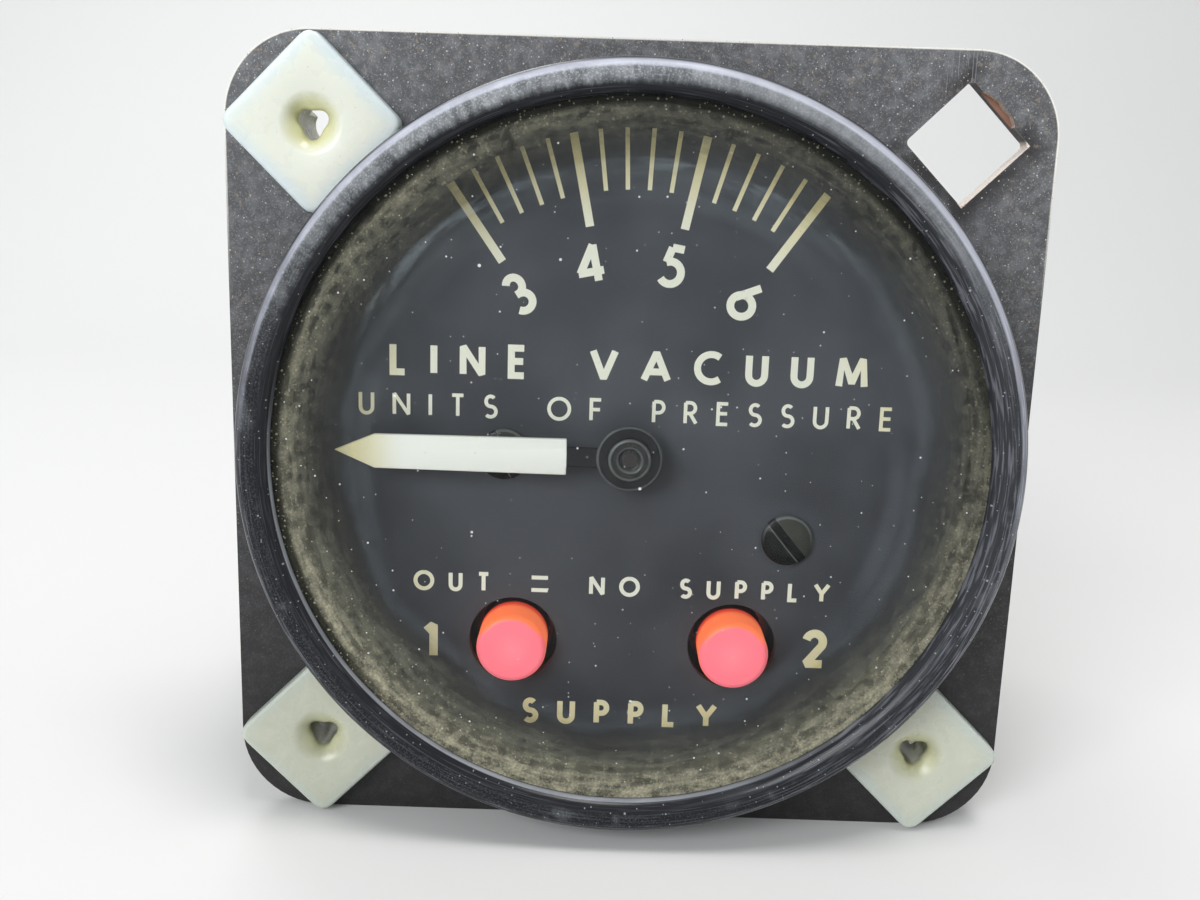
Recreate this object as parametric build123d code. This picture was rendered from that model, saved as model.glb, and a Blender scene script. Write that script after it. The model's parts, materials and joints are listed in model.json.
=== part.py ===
from build123d import *
import os
from math import acos, atan2, cos, degrees, pi, radians, sin, sqrt, tan

os.makedirs("parts", exist_ok=True)

# Suction indicator for a 2 1/4 inch panel hole, in millimetres.
# The dial axis is Y. The front looks towards -Y, +X is the dial's right, +Z is up.
# The origin is on the dial axis, at the back edge of the bezel's locating wall.
# The back face of the instrument panel rests on the nut heads just behind it.

# Bezel ring, which fits the panel hole and sets the size of the case
bezel_radius = 28.5
bezel_wall = 1.15
bezel_relief = 0.6
bezel_fit = 0.05
bezel_round = 1.0
bezel_slope_bulge = 0.26
crown_over_glass = 1.2
lip_width = 2.5
lip_wall = 0.1
lip_round = 0.3

# Flange
flange_margin = 6.604
flange_corner = 6.35
flange_thick = 1.6
hole_side = 6.35
hole_corner = 0.4
chip_depth = 0.9

# Mounting nuts
nut_head_side = 9.525
nut_bezel_gap = 0.054
nut_seat_gap = 0.1
nut_head_corner = 1.0
nut_head_thick = 1.5
nut_shank_clearance = 0.1
nut_shank_length = 6.0
nut_shank_corner = 0.8
nut_tip_bevel = 0.6
nut_bore_radius = 1.3
nut_dish_radius = 2.3
nut_dish_depth = 0.8
nut_slot_width = 0.7
nut_slot_start = 3.0
nut_latch_height = 0.4
nut_latch_length = 1.6
nut_latch_gap = 0.1
nut_latch_root = 0.5

# Case
front_wall = 1.3
side_wall = 2.7
rear_wall = 2.5
rear_round = 2.0
boss_radius = 2.4
boss_length = 8.0
port_boss_radius = 6.4
port_boss_height = 1.2
wall_overlap = 0.5

# Glass and gasket
glass_thick = 1.6
glass_clearance = 0.15
glass_bevel = 0.25
gasket_thick = 0.8
gasket_inset = 0.1

# Dial
dial_thick = 0.8
dial_clearance = 0.2
dial_to_glass = 3.6
dial_staff_hole = 1.6
dial_button_hole = 3.45
dial_screw_right_x = 12.4
dial_screw_over_button = 8.9
dial_screw_left_place = (-9.5, -0.4)
dial_screw_angles = [-50, -60]
dial_screw_head_radius = 1.95
dial_screw_head_height = 1.05
dial_screw_rim_height = 0.47
dial_screw_dome_radius = 1.07
dial_screw_dome_fall = 0.16
dial_screw_shank_radius = 0.85
dial_screw_length = 2.8
dial_screw_slot_width = 0.7
dial_screw_slot_depth = 0.5
slot_overrun = 0.2
dial_post_radius = 1.6
dial_post_length = 3.2

# Printed scale
mark_margin = 1.8
major_mark_length = 6.8
minor_mark_length = 4.4
major_mark_width = 0.62
minor_mark_width = 0.32
mark_thick = 0.03
scale_half_angle = 35
scale_divisions = 15
marks_per_number = 5

# Movement frame
plate_thick = 1.6
plate_clearance = 0.2
plate_screw_inset = 3.1
plate_screw_angles = [100, 205, 335]
plate_screw_shank_radius = 0.9
plate_screw_head_radius = 1.7
plate_screw_head_height = 0.8
plate_screw_length = 5.0
screw_slot_angle = 30
rear_plate_radius = 21.5
rear_plate_thick = 1.4
rear_plate_over_cylinder = 1.1
pillar_x = 16.5
pillar_high_z = 9.0
pillar_over_edge = 3.6
pillar_radius = 1.7
pillar_length = 10.4
pillar_screw_radius = 0.8
pillar_screw_length = 4.0
bush_radius = 1.8
bush_wall_gap = 0.05

# Pointer and staff
pointer_length = 22.0
pointer_shoulder = 19.0
pointer_blade_start = 4.7
pointer_tip_width = 2.6
pointer_root_width = 2.75
pointer_neck_width = 1.5
pointer_neck_overlap = 0.5
pointer_disc_radius = 2.45
pointer_thick = 0.4
pointer_to_dial = 2.1
hub_sleeve_radius = 1.1
hub_boss_radius = 1.65
hub_boss_height = 0.5
hub_sleeve_length = 1.3
hub_dimple_radius = 0.85
hub_dimple_depth = 0.3
staff_radius = 0.5
staff_body_radius = 0.9
staff_end_play = 0.1
staff_tip_depth = 0.1
pointer_sweep = 135

# Gearing
gear_module = 0.35
pinion_teeth = 14
wheel_teeth = 84
pressure_angle = 25
tooth_thinning = 0.03
tooth_root_gap = 0.25
pinion_length = 2.4
pinion_from_plate = 3.0
sector_thick = 1.0
sector_rim = 2.2
sector_spare_angle = 6.0
sector_hub_radius = 3.0
sector_spoke_width = 1.4
sector_spoke_overlap = 0.5
arbor_radius = 1.0
arbor_shoulder = 0.5
arbor_side = 1

# Hairspring
hairspring_inner = 1.5
hairspring_outer = 4.6
hairspring_turns = 3.5
hairspring_ribbon = 0.16
hairspring_width = 0.5
hairspring_points = 12
collet_radius = 1.5
collet_length = 1.2
stud_radius = 0.5
stop_pin_radius = 0.6
stop_pin_gap = 0.05
stop_pin_reach = 10.0

# Capsule and link
capsule_radius = 12.5
capsule_thick = 5.0
capsule_edge = 0.8
capsule_ridge = 0.7
capsule_ridges = 3
capsule_flat = 2.5
capsule_rim = 0.8
ridge_hollow = 0.4
ridge_top = 0.8
capsule_to_plate = 1.2
capsule_to_back = 2.5
capsule_base = -0.2
capsule_plate_gap = 0.3
stem_radius = 2.2
stem_block_side = 5.0
stem_block_height = 4.0
nipple_radius = 2.0
nipple_bore = 1.0
nipple_length = 4.0
boss_disc_radius = 2.0
boss_disc_thick = 0.7
fork_width = 2.6
fork_height = 3.0
crank_radius = 4.5
crank_hub_radius = 2.2
crank_thick = 1.2
crank_eye_radius = 1.3
crank_arm_width = 1.6
crank_pin_radius = 0.5
crank_pin_head_radius = 1.0
crank_pin_head_thick = 0.5
link_thick = 0.6
link_width = 1.2
link_eye_radius = 1.15
link_side_gap = 0.3
link_fork_gap = 0.05
link_pivot_clearance = 0.12
bracket_thick = 1.2
bracket_width = 9.0
bracket_foot = 5.5
bracket_past_stem = 2.5
bracket_screw_spacing = 6.0
bracket_screw_radius = 0.7
bracket_screw_head_radius = 1.4
bracket_screw_head_height = 0.8

# Source indicators
indicator_x = 8.6
ring_nut_wall_gap = 0.26
button_radius = 2.7
button_stand_out = 2.3
button_edge_round = 0.5
button_fit = 0.05
button_travel = 3.0
button_seat_gap = 0.05
piston_thick = 1.6
cylinder_bore = 4.1
cylinder_wall = 0.6
cylinder_flange_radius = 5.6
cylinder_flange_thick = 0.8
cylinder_lip = 1.0
spring_closed_length = 5.8
ring_nut_radius = 5.8
ring_nut_thick = 1.4
end_cap_plug = 1.5
end_cap_flange = 1.0
spring_mean_radius = 2.7
spring_wire_radius = 0.3
spring_turns = 4
spring_wire_sides = 8
tube_radius = 3.0

# Hose fittings
gauge_port_z = -5.0
fitting_shank_radius = 3.6
fitting_hex = 9.5
fitting_hex_thick = 3.0
barb_neck_radius = 2.7
barb_tip_radius = 3.3
barb_count = 3
barb_pitch = 3.2
barb_start = 1.9
barb_length = 2.2
fitting_bore_radius = 1.5

# Sizes across the dial axis, from the bezel inwards and outwards
can_radius = bezel_radius - bezel_wall - bezel_fit
front_bore_radius = can_radius - front_wall
rear_bore_radius = can_radius - side_wall
lip_radius = bezel_radius - lip_width
hole_spacing = sqrt(2) * (bezel_radius + nut_bezel_gap + nut_head_side / 2)
flange_size = hole_spacing + 2 * flange_margin
dial_radius = front_bore_radius - dial_clearance
mark_outer = dial_radius - mark_margin
plate_screw_radius = front_bore_radius - plate_screw_inset
ring_nut_corner = 2 * ring_nut_radius / sqrt(3)
indicator_reach = rear_bore_radius - ring_nut_wall_gap - ring_nut_corner
indicator_z = -sqrt(indicator_reach**2 - indicator_x**2)
dial_screw_places = [(dial_screw_right_x, indicator_z + dial_screw_over_button), dial_screw_left_place]
rear_plate_low_edge = indicator_z + cylinder_bore + cylinder_wall + rear_plate_over_cylinder
pillar_low_z = rear_plate_low_edge + pillar_over_edge
pillar_places = [(x, z) for z in (pillar_high_z, pillar_low_z) for x in (pillar_x, -pillar_x)]

# Places along the dial axis
flange_front = nut_seat_gap + nut_head_thick
flange_back = flange_front + flange_thick
dial_front = flange_front
dial_back = dial_front + dial_thick
plate_front = dial_back + dial_post_length
plate_back = plate_front + plate_thick
rear_plate_front = plate_back + pillar_length
rear_plate_back = rear_plate_front + rear_plate_thick
capsule_y = rear_plate_back + capsule_to_plate + capsule_radius
can_inside = capsule_y + capsule_radius + capsule_to_back
can_back = can_inside + rear_wall
glass_back = dial_front - dial_to_glass
glass_front = glass_back - glass_thick
gasket_back = glass_back + gasket_thick
crown_front = glass_front - crown_over_glass
pointer_back = dial_front - pointer_to_dial
pointer_front = pointer_back - pointer_thick
hub_front = pointer_front - hub_boss_height
sector_front = plate_back + pinion_from_plate
pinion_front = sector_front + sector_thick / 2 - pinion_length / 2
pinion_back = pinion_front + pinion_length
hairspring_y = (pinion_back + rear_plate_front) / 2

# Gear train: the sector turns the pinion, and its crank hangs on the link
gear_ratio = wheel_teeth / pinion_teeth
pinion_pitch = gear_module * pinion_teeth / 2
wheel_pitch = gear_module * wheel_teeth / 2
centre_distance = pinion_pitch + wheel_pitch
sector_sweep = pointer_sweep / gear_ratio
sector_root = wheel_pitch - gear_module * (1 + tooth_root_gap)
sector_inner = sector_root - sector_rim
arbor_x = arbor_side * crank_radius * (1 + cos(radians(sector_sweep / 2))) / 2
arbor_z = sqrt(centre_distance**2 - arbor_x**2)
mesh_direction = degrees(atan2(-arbor_z, -arbor_x))
capsule_bottom = capsule_base
capsule_top = capsule_bottom + capsule_thick
fork_base = capsule_top + boss_disc_thick
link_pin_z = fork_base + fork_height - link_eye_radius
crank_pin_x = arbor_x - crank_radius * cos(radians(sector_sweep / 2))
crank_pin_z = arbor_z + crank_radius * sin(radians(sector_sweep / 2))
link_front = capsule_y - link_thick / 2
link_back = capsule_y + link_thick / 2
crank_back = link_front - link_side_gap
crank_front = crank_back - crank_thick

# Cylinder of each source indicator
cylinder_front = plate_front - cylinder_flange_thick
lip_back = cylinder_front + cylinder_flange_thick + cylinder_lip
piston_front = lip_back + button_seat_gap
piston_back = piston_front + piston_thick
cap_front = piston_back + button_travel + spring_closed_length
cylinder_back = cap_front + end_cap_plug
cap_back = cylinder_back + end_cap_flange
indicator_places = {"left": -indicator_x, "right": indicator_x}
hole_half = hole_spacing / 2


def turned(*points):
    """A solid turned about the dial axis, from points of radius and depth."""
    return revolve(make_face(Polyline(*points, close=True)), Axis.Y)


def rod(radius, front, back, x=0.0, z=0.0):
    """A round bar along the dial axis."""
    middle = (front + back) / 2
    return Pos(x, middle, z) * Rot(90, 0, 0) * Cylinder(radius, back - front)


def slab(outline, front, back):
    """An outline drawn in X and Z, given thickness between two depths."""
    return extrude(Plane.XZ.offset(-back) * outline, amount=back - front)


def post(radius, low, high, x=0.0, y=0.0):
    """A round bar along Z."""
    return Pos(x, y, (low + high) / 2) * Cylinder(radius, high - low)


def diamond(side, corner, x, z):
    """A square with rounded corners, standing on one corner."""
    return Pos(x, z) * Rot(0, 0, 45) * RectangleRounded(side, side, corner)


def involute_gear(teeth, thinning, first=0, count=None):
    """Points of the tooth outlines, with tooth `first` centred on the X axis."""
    pitch = gear_module * teeth / 2
    base = pitch * cos(radians(pressure_angle))
    tip = pitch + gear_module
    root = pitch - gear_module * (1 + tooth_root_gap)
    inner = max(root, base)

    def roll(radius):
        angle = acos(min(1.0, base / radius))
        return tan(angle) - angle

    half_at_pitch = pi / (2 * teeth) - thinning / (2 * pitch)
    radii = [inner, (inner + pitch) / 2, pitch, (pitch + tip) / 2, tip]
    flank = [(r, half_at_pitch + roll(pitch) - roll(r)) for r in radii]
    if root < inner:
        flank.insert(0, (root, flank[0][1]))
    points = []
    for number in range(first, first + (count or teeth)):
        centre = 2 * pi * number / teeth
        for radius, half in flank:
            points.append((radius * cos(centre - half), radius * sin(centre - half)))
        for radius, half in reversed(flank):
            points.append((radius * cos(centre + half), radius * sin(centre + half)))
    return points


def save(name, solid):
    """Write one sub-part under its node name."""
    export_step(solid, f"parts/{name}.step")


def make_case():
    """Moulded case: front spigot, square flange, can and rear wall in one piece."""
    body = turned(
        (front_bore_radius, gasket_back),
        (can_radius, gasket_back),
        (can_radius, can_back),
        (0, can_back),
        (0, can_inside),
        (rear_bore_radius, can_inside),
        (rear_bore_radius, plate_back),
        (front_bore_radius, plate_back),
    )
    rear_edge = body.edges().filter_by(GeomType.CIRCLE).group_by(Axis.Y)[-1]
    body = fillet(rear_edge, rear_round)
    flange = slab(RectangleRounded(flange_size, flange_size, flange_corner), flange_front, flange_back)
    body += flange - rod(can_radius - wall_overlap, flange_front, flange_back)
    for angle in plate_screw_angles:
        x = plate_screw_radius * cos(radians(angle))
        z = plate_screw_radius * sin(radians(angle))
        boss = rod(boss_radius, plate_back, plate_back + boss_length, x, z)
        body += boss & rod(can_radius - wall_overlap, plate_back, plate_back + boss_length)
        body -= rod(plate_screw_shank_radius, plate_back, plate_back + plate_screw_length, x, z)
    for x, z in port_places().values():
        body += rod(port_boss_radius, can_back, can_back + port_boss_height, x, z)
        body -= rod(fitting_shank_radius, can_inside, can_back + port_boss_height, x, z)
    for side_x in (-1, 1):
        for side_z in (-1, 1):
            hole = diamond(hole_side, hole_corner, side_x * hole_half, side_z * hole_half)
            body -= slab(hole, flange_front, flange_back)
    return body - chip()


def chip():
    """The broken edge of the upper right hole, along its upper right side."""
    along = [(1.0, -0.2), (1.3, 0.12), (1.9, 0.32), (2.6, 0.48), (3.2, 0.36), (3.9, 0.42), (4.5, 0.2), (4.8, -0.2)]
    top_corner = hole_side / sqrt(2)
    slant = 1 / sqrt(2)
    points = []
    for step, bite in along:
        x = hole_half + (step + bite) * slant
        z = hole_half + top_corner + (bite - step) * slant
        points.append((x, z))
    return slab(make_face(Polyline(*points, close=True)), flange_front, flange_front + chip_depth)


def port_places():
    """Where each hose fitting goes through the rear wall."""
    return {
        "gauge": (0.0, gauge_port_z),
        "source_left": (-indicator_x, indicator_z),
        "source_right": (indicator_x, indicator_z),
    }


def make_bezel():
    """Ring that holds the glass, with a rounded crown that slopes in to its lip."""
    inner = can_radius + bezel_fit
    round_start = crown_front + bezel_round
    slope_end = glass_front - lip_wall - lip_round
    side = Polyline(
        (lip_radius, glass_front - lip_wall),
        (lip_radius, glass_front),
        (inner, glass_front),
        (inner, flange_front),
        (bezel_radius - bezel_relief, flange_front),
        (bezel_radius - bezel_relief, 0),
        (bezel_radius, 0),
        (bezel_radius, round_start),
    )
    corner = bezel_round * (1 - sqrt(0.5))
    outer_round = ThreePointArc(
        (bezel_radius, round_start),
        (bezel_radius - corner, crown_front + corner),
        (bezel_radius - bezel_round, crown_front),
    )
    slope_outside = (bezel_radius - bezel_round, crown_front)
    slope_inside = (lip_radius + lip_round, slope_end)
    slope_middle = (
        (slope_outside[0] + slope_inside[0]) / 2,
        (slope_outside[1] + slope_inside[1]) / 2 - bezel_slope_bulge,
    )
    slope = ThreePointArc(slope_outside, slope_middle, slope_inside)
    lip_corner = lip_round * (1 - sqrt(0.5))
    inner_round = ThreePointArc(
        (lip_radius + lip_round, slope_end),
        (lip_radius + lip_corner, glass_front - lip_wall - lip_round + lip_corner),
        (lip_radius, glass_front - lip_wall),
    )
    return revolve(make_face(side + outer_round + slope + inner_round), Axis.Y)


def make_glass():
    """Flat cover glass with bevelled edges."""
    radius = can_radius + bezel_fit - glass_clearance
    return turned(
        (0, glass_front),
        (radius - glass_bevel, glass_front),
        (radius, glass_front + glass_bevel),
        (radius, glass_back - glass_bevel),
        (radius - glass_bevel, glass_back),
        (0, glass_back),
    )


def make_gasket():
    """Flat ring between the glass and the end of the case."""
    inner = front_bore_radius + gasket_inset
    outer = can_radius - gasket_inset
    return rod(outer, glass_back, gasket_back) - rod(inner, glass_back, gasket_back)


def make_dial():
    """Dial plate with its holes for the staff, the screws and the two buttons."""
    dial = rod(dial_radius, dial_front, dial_back)
    dial -= rod(dial_staff_hole, dial_front, dial_back)
    for x in indicator_places.values():
        dial -= rod(dial_button_hole, dial_front, dial_back, x, indicator_z)
    for x, z in dial_screw_places:
        dial -= rod(dial_screw_shank_radius, dial_front, dial_back, x, z)
    return dial


def make_scale_marks():
    """Printed scale: long marks at the numbers and short ones between them."""
    marks = []
    for number in range(scale_divisions + 1):
        major = number % marks_per_number == 0
        length = major_mark_length if major else minor_mark_length
        width = major_mark_width if major else minor_mark_width
        angle = scale_half_angle - 2 * scale_half_angle * number / scale_divisions
        mark = Pos(0, mark_outer - length / 2) * Rectangle(width, length)
        marks.append(slab(Rot(0, 0, angle) * mark, dial_front - mark_thick, dial_front))
    return Compound(children=marks)


def make_dial_screw(x, z, slot_angle):
    """Slotted screw with a domed head."""
    front = dial_front - dial_screw_head_height
    edge = dial_front - dial_screw_rim_height
    dome = ThreePointArc(
        (0, front),
        (dial_screw_dome_radius, front + dial_screw_dome_fall),
        (dial_screw_head_radius, edge),
    )
    rim = Polyline(
        (dial_screw_head_radius, edge),
        (dial_screw_head_radius, dial_front),
        (0, dial_front),
        (0, front),
    )
    head = Pos(x, 0, z) * revolve(make_face(dome + rim), Axis.Y)
    slot = Rectangle(2 * (dial_screw_head_radius + slot_overrun), dial_screw_slot_width)
    slot_floor = front + dial_screw_slot_depth
    head -= slab(Pos(x, z) * Rot(0, 0, slot_angle) * slot, front - dial_screw_slot_depth, slot_floor)
    inside = (edge + dial_front) / 2
    return head + rod(dial_screw_shank_radius, inside, dial_back + dial_screw_length, x, z)


def make_dial_post(x, z):
    """Tapped post that carries the dial on the movement's front plate."""
    body = rod(dial_post_radius, dial_back, plate_front, x, z)
    body += rod(dial_post_radius / 2, plate_front, plate_back, x, z)
    return body - rod(dial_screw_shank_radius, dial_back, dial_back + dial_screw_length, x, z)


def make_front_plate():
    """Front plate of the movement, screwed to the ledge inside the case."""
    plate = rod(front_bore_radius - plate_clearance, plate_front, plate_back)
    for angle in plate_screw_angles:
        x = plate_screw_radius * cos(radians(angle))
        z = plate_screw_radius * sin(radians(angle))
        plate -= rod(plate_screw_shank_radius, plate_front, plate_back, x, z)
    for x in indicator_places.values():
        plate -= rod(cylinder_bore + cylinder_wall, plate_front, plate_back, x, indicator_z)
    for x, z in [(0, 0), (arbor_x, arbor_z)]:
        plate -= rod(bush_radius, plate_front, plate_back, x, z)
    for x, z in dial_screw_places:
        plate -= rod(dial_post_radius / 2, plate_front, plate_back, x, z)
    for x, z in pillar_places:
        plate -= rod(pillar_radius / 2, plate_front, plate_back, x, z)
    return plate


def make_rear_plate():
    """Rear plate of the movement, cut off above the two source indicators."""
    height = rear_plate_radius - rear_plate_low_edge
    keep = Pos(0, rear_plate_low_edge + height / 2) * Rectangle(2 * rear_plate_radius, height)
    plate = slab(Circle(rear_plate_radius) & keep, rear_plate_front, rear_plate_back)
    for x, z in [(0, 0), (arbor_x, arbor_z)]:
        plate -= rod(bush_radius, rear_plate_front, rear_plate_back, x, z)
    for x, z in pillar_places:
        plate -= rod(pillar_screw_radius, rear_plate_front, rear_plate_back, x, z)
    for x, z in bracket_screw_places():
        plate -= rod(bracket_screw_radius, rear_plate_front, rear_plate_back, x, z)
    x, z = stud_place()
    plate -= rod(stud_radius, rear_plate_front, rear_plate_back, x, z)
    x, z = stop_pin_place()
    return plate - rod(stop_pin_radius, rear_plate_front, rear_plate_back, x, z)


def make_pillar(x, z):
    """Pillar between the plates, riveted at the front and tapped at the rear."""
    body = rod(pillar_radius, plate_back, rear_plate_front, x, z)
    body += rod(pillar_radius / 2, plate_front, plate_back, x, z)
    return body - rod(pillar_screw_radius, rear_plate_front - pillar_screw_length, rear_plate_front, x, z)


def cheese_screw(shank, head, height, seat, length, toward_back, x, z):
    """Slotted cheese-head screw whose head sits on the plane `seat`."""
    reach = seat - length if toward_back else seat + length
    outside = seat + height if toward_back else seat - height
    body = rod(shank, min(reach, seat), max(reach, seat), x, z)
    body += rod(head, min(seat, outside), max(seat, outside), x, z)
    floor = outside - height / 2 if toward_back else outside + height / 2
    slot = Pos(x, z) * Rot(0, 0, screw_slot_angle) * Rectangle(2 * (head + slot_overrun), height / 2)
    return body - slab(slot, min(floor, outside), max(floor, outside))


def make_plate_screws():
    """Screws that hold the front plate to the case."""
    screws = []
    for angle in plate_screw_angles:
        x = plate_screw_radius * cos(radians(angle))
        z = plate_screw_radius * sin(radians(angle))
        length = plate_thick + plate_screw_length
        screws.append(
            cheese_screw(
                plate_screw_shank_radius,
                plate_screw_head_radius,
                plate_screw_head_height,
                plate_front,
                length,
                False,
                x,
                z,
            )
        )
    return Compound(children=screws)


def make_pillar_screws():
    """Screws that hold the rear plate to its pillars."""
    screws = []
    for x, z in pillar_places:
        length = rear_plate_thick + pillar_screw_length
        screws.append(
            cheese_screw(
                pillar_screw_radius,
                pillar_radius,
                plate_screw_head_height,
                rear_plate_back,
                length,
                True,
                x,
                z,
            )
        )
    return Compound(children=screws)


def make_bush(front, back, bore, x, z):
    """Turned bush pressed into a plate."""
    return rod(bush_radius, front, back, x, z) - rod(bore + bush_wall_gap, front, back, x, z)


def make_pointer():
    """Stamped pointer: pointed blade, narrow neck and round eye, aimed at nine o'clock."""
    neck_end = pointer_disc_radius - pointer_neck_overlap
    blade = Polyline(
        (-pointer_length, 0),
        (-pointer_shoulder, pointer_tip_width / 2),
        (-pointer_blade_start, pointer_root_width / 2),
        (-pointer_blade_start, pointer_neck_width / 2),
        (-neck_end, pointer_neck_width / 2),
        (-neck_end, -pointer_neck_width / 2),
        (-pointer_blade_start, -pointer_neck_width / 2),
        (-pointer_blade_start, -pointer_root_width / 2),
        (-pointer_shoulder, -pointer_tip_width / 2),
        close=True,
    )
    outline = make_face(blade) + Circle(pointer_disc_radius) - Circle(hub_sleeve_radius)
    return slab(outline, pointer_front, pointer_back)


def make_hub():
    """Turned hub pressed through the pointer's eye, dimpled round the staff's tip."""
    return turned(
        (staff_radius, hub_front + hub_dimple_depth),
        (hub_dimple_radius, hub_front + hub_dimple_depth),
        (hub_dimple_radius, hub_front),
        (hub_boss_radius, hub_front),
        (hub_boss_radius, pointer_front),
        (hub_sleeve_radius, pointer_front),
        (hub_sleeve_radius, pointer_back + hub_sleeve_length),
        (staff_radius, pointer_back + hub_sleeve_length),
    )


def make_staff():
    """Pointer staff with its pinion cut from the same bar."""
    body = rod(staff_radius, hub_front + staff_tip_depth, rear_plate_back)
    body += rod(staff_body_radius, plate_back + staff_end_play, rear_plate_front - staff_end_play)
    teeth = involute_gear(pinion_teeth, tooth_thinning)
    turn = mesh_direction + 180 + 180 / pinion_teeth
    outline = Rot(0, 0, turn) * make_face(Polyline(*teeth, close=True))
    return body + slab(outline, pinion_front, pinion_back)


def sector_tooth_numbers():
    """First and last tooth of the rim, counted from the one in mesh at rest."""
    step = 360 / wheel_teeth
    low = -round((sector_sweep + sector_spare_angle) / step)
    high = round(sector_spare_angle / step)
    return low, high


def make_sector():
    """Toothed sector with a hub, two spokes and a rim."""
    low, high = sector_tooth_numbers()
    step = 360 / wheel_teeth
    teeth = involute_gear(wheel_teeth, tooth_thinning, low, high - low + 1)
    root = sector_root
    inner = sector_inner
    start = radians((low - 0.5) * step)
    end = radians((high + 0.5) * step)
    middle = (start + end) / 2
    edge = Polyline(
        (inner * cos(start), inner * sin(start)),
        (root * cos(start), root * sin(start)),
        *teeth,
        (root * cos(end), root * sin(end)),
        (inner * cos(end), inner * sin(end)),
    )
    back = ThreePointArc(
        (inner * cos(end), inner * sin(end)),
        (inner * cos(middle), inner * sin(middle)),
        (inner * cos(start), inner * sin(start)),
    )
    outline = make_face(edge + back) + Circle(sector_hub_radius)
    for angle in (start, end):
        lean = sector_spoke_width / (2 * inner)
        inward = lean if angle == start else -lean
        length = inner + sector_spoke_overlap
        spoke = Pos(length / 2, 0) * Rectangle(length, sector_spoke_width)
        outline += Rot(0, 0, degrees(angle + inward)) * spoke
    outline = outline - Circle(arbor_radius)
    placed = Pos(arbor_x, arbor_z) * Rot(0, 0, mesh_direction) * outline
    return slab(placed, sector_front, sector_front + sector_thick)


def make_arbor():
    """Sector arbor, running on behind the rear plate to carry the crank."""
    body = rod(arbor_radius, plate_front, crank_back, arbor_x, arbor_z)
    shoulder = arbor_radius + arbor_shoulder
    body += rod(shoulder, sector_front + sector_thick, rear_plate_front - staff_end_play, arbor_x, arbor_z)
    return body + rod(shoulder, plate_back + staff_end_play, sector_front, arbor_x, arbor_z)


def make_crank():
    """Crank arm on the arbor, which the link pulls."""
    swing = 180 - sector_sweep / 2
    arm = Pos(crank_radius / 2, 0) * Rectangle(crank_radius, crank_arm_width)
    outline = Circle(crank_hub_radius) + arm + Pos(crank_radius, 0) * Circle(crank_eye_radius)
    outline = outline - Circle(arbor_radius) - Pos(crank_radius, 0) * Circle(crank_pin_radius)
    return slab(Pos(arbor_x, arbor_z) * Rot(0, 0, swing) * outline, crank_front, crank_back)


def make_crank_pin():
    """Pin in the crank's end, standing through the link's upper eye."""
    body = rod(crank_pin_radius, crank_front, link_back + link_side_gap, crank_pin_x, crank_pin_z)
    head = link_back + link_side_gap
    return body + rod(crank_pin_head_radius, head, head + crank_pin_head_thick, crank_pin_x, crank_pin_z)


def make_link():
    """Flat link between the capsule and the crank, with a loose upper eye."""
    length = crank_pin_z - link_pin_z
    bar = Pos(0, link_pin_z + length / 2) * Rectangle(link_width, length)
    lower = Pos(0, link_pin_z) * Circle(link_eye_radius)
    upper = Pos(0, crank_pin_z) * Circle(link_eye_radius)
    outline = bar + lower + upper - Pos(0, link_pin_z) * Circle(crank_pin_radius)
    loose = crank_pin_radius + link_pivot_clearance
    slotted = Pos(crank_pin_x / 2, crank_pin_z) * Circle(loose)
    return slab(outline - slotted, link_front, link_back)


def make_link_pin():
    """Pin through the fork and the link's lower eye."""
    half = fork_width / 2 + crank_pin_radius / 2
    return rod(crank_pin_radius, capsule_y - half, capsule_y + half, 0, link_pin_z)


def make_capsule():
    """Pressure capsule: two ridged discs joined at their rims, about a vertical axis."""
    middle = (capsule_bottom + capsule_top) / 2
    half = capsule_thick / 2
    pitch = (capsule_radius - capsule_flat - capsule_rim) / capsule_ridges
    top = [(0, half), (capsule_flat, half)]
    for number in range(capsule_ridges):
        start = capsule_flat + number * pitch
        fall = half - (half - capsule_edge) * (number + 1) / (capsule_ridges + 1)
        top.append((start + pitch * ridge_hollow, fall - capsule_ridge / 2))
        top.append((start + pitch * ridge_top, fall + capsule_ridge / 2))
    top.append((capsule_radius - capsule_rim, capsule_edge / 2))
    top.append((capsule_radius, capsule_edge / 2))
    bottom = [(radius, -height) for radius, height in reversed(top)]
    outline = make_face(Plane.XZ * Polyline(*(top + bottom), close=True))
    return Pos(0, capsule_y, middle) * revolve(outline, Axis.Z)


def make_capsule_boss():
    """Moving boss soldered to the capsule, forked for the link."""
    body = post(boss_disc_radius, capsule_top, fork_base, 0, capsule_y)
    body += Pos(0, capsule_y, fork_base + fork_height / 2) * Box(fork_width, fork_width, fork_height)
    slot_width = link_thick + 2 * link_fork_gap
    slot_base = link_pin_z - link_eye_radius - link_fork_gap
    slot_height = fork_base + fork_height - slot_base
    body -= Pos(0, capsule_y, slot_base + slot_height / 2) * Box(fork_width, slot_width, slot_height)
    return body - rod(crank_pin_radius, capsule_y - fork_width, capsule_y + fork_width, 0, link_pin_z)


def bracket_levels():
    """Bottom and top of the bracket's shelf."""
    top = capsule_bottom - capsule_plate_gap
    return top - bracket_thick, top


def bracket_screw_places():
    """Screws through the bracket's foot into the rear plate."""
    low, top = bracket_levels()
    z = top - bracket_foot / 2
    return [(-bracket_screw_spacing / 2, z), (bracket_screw_spacing / 2, z)]


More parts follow.
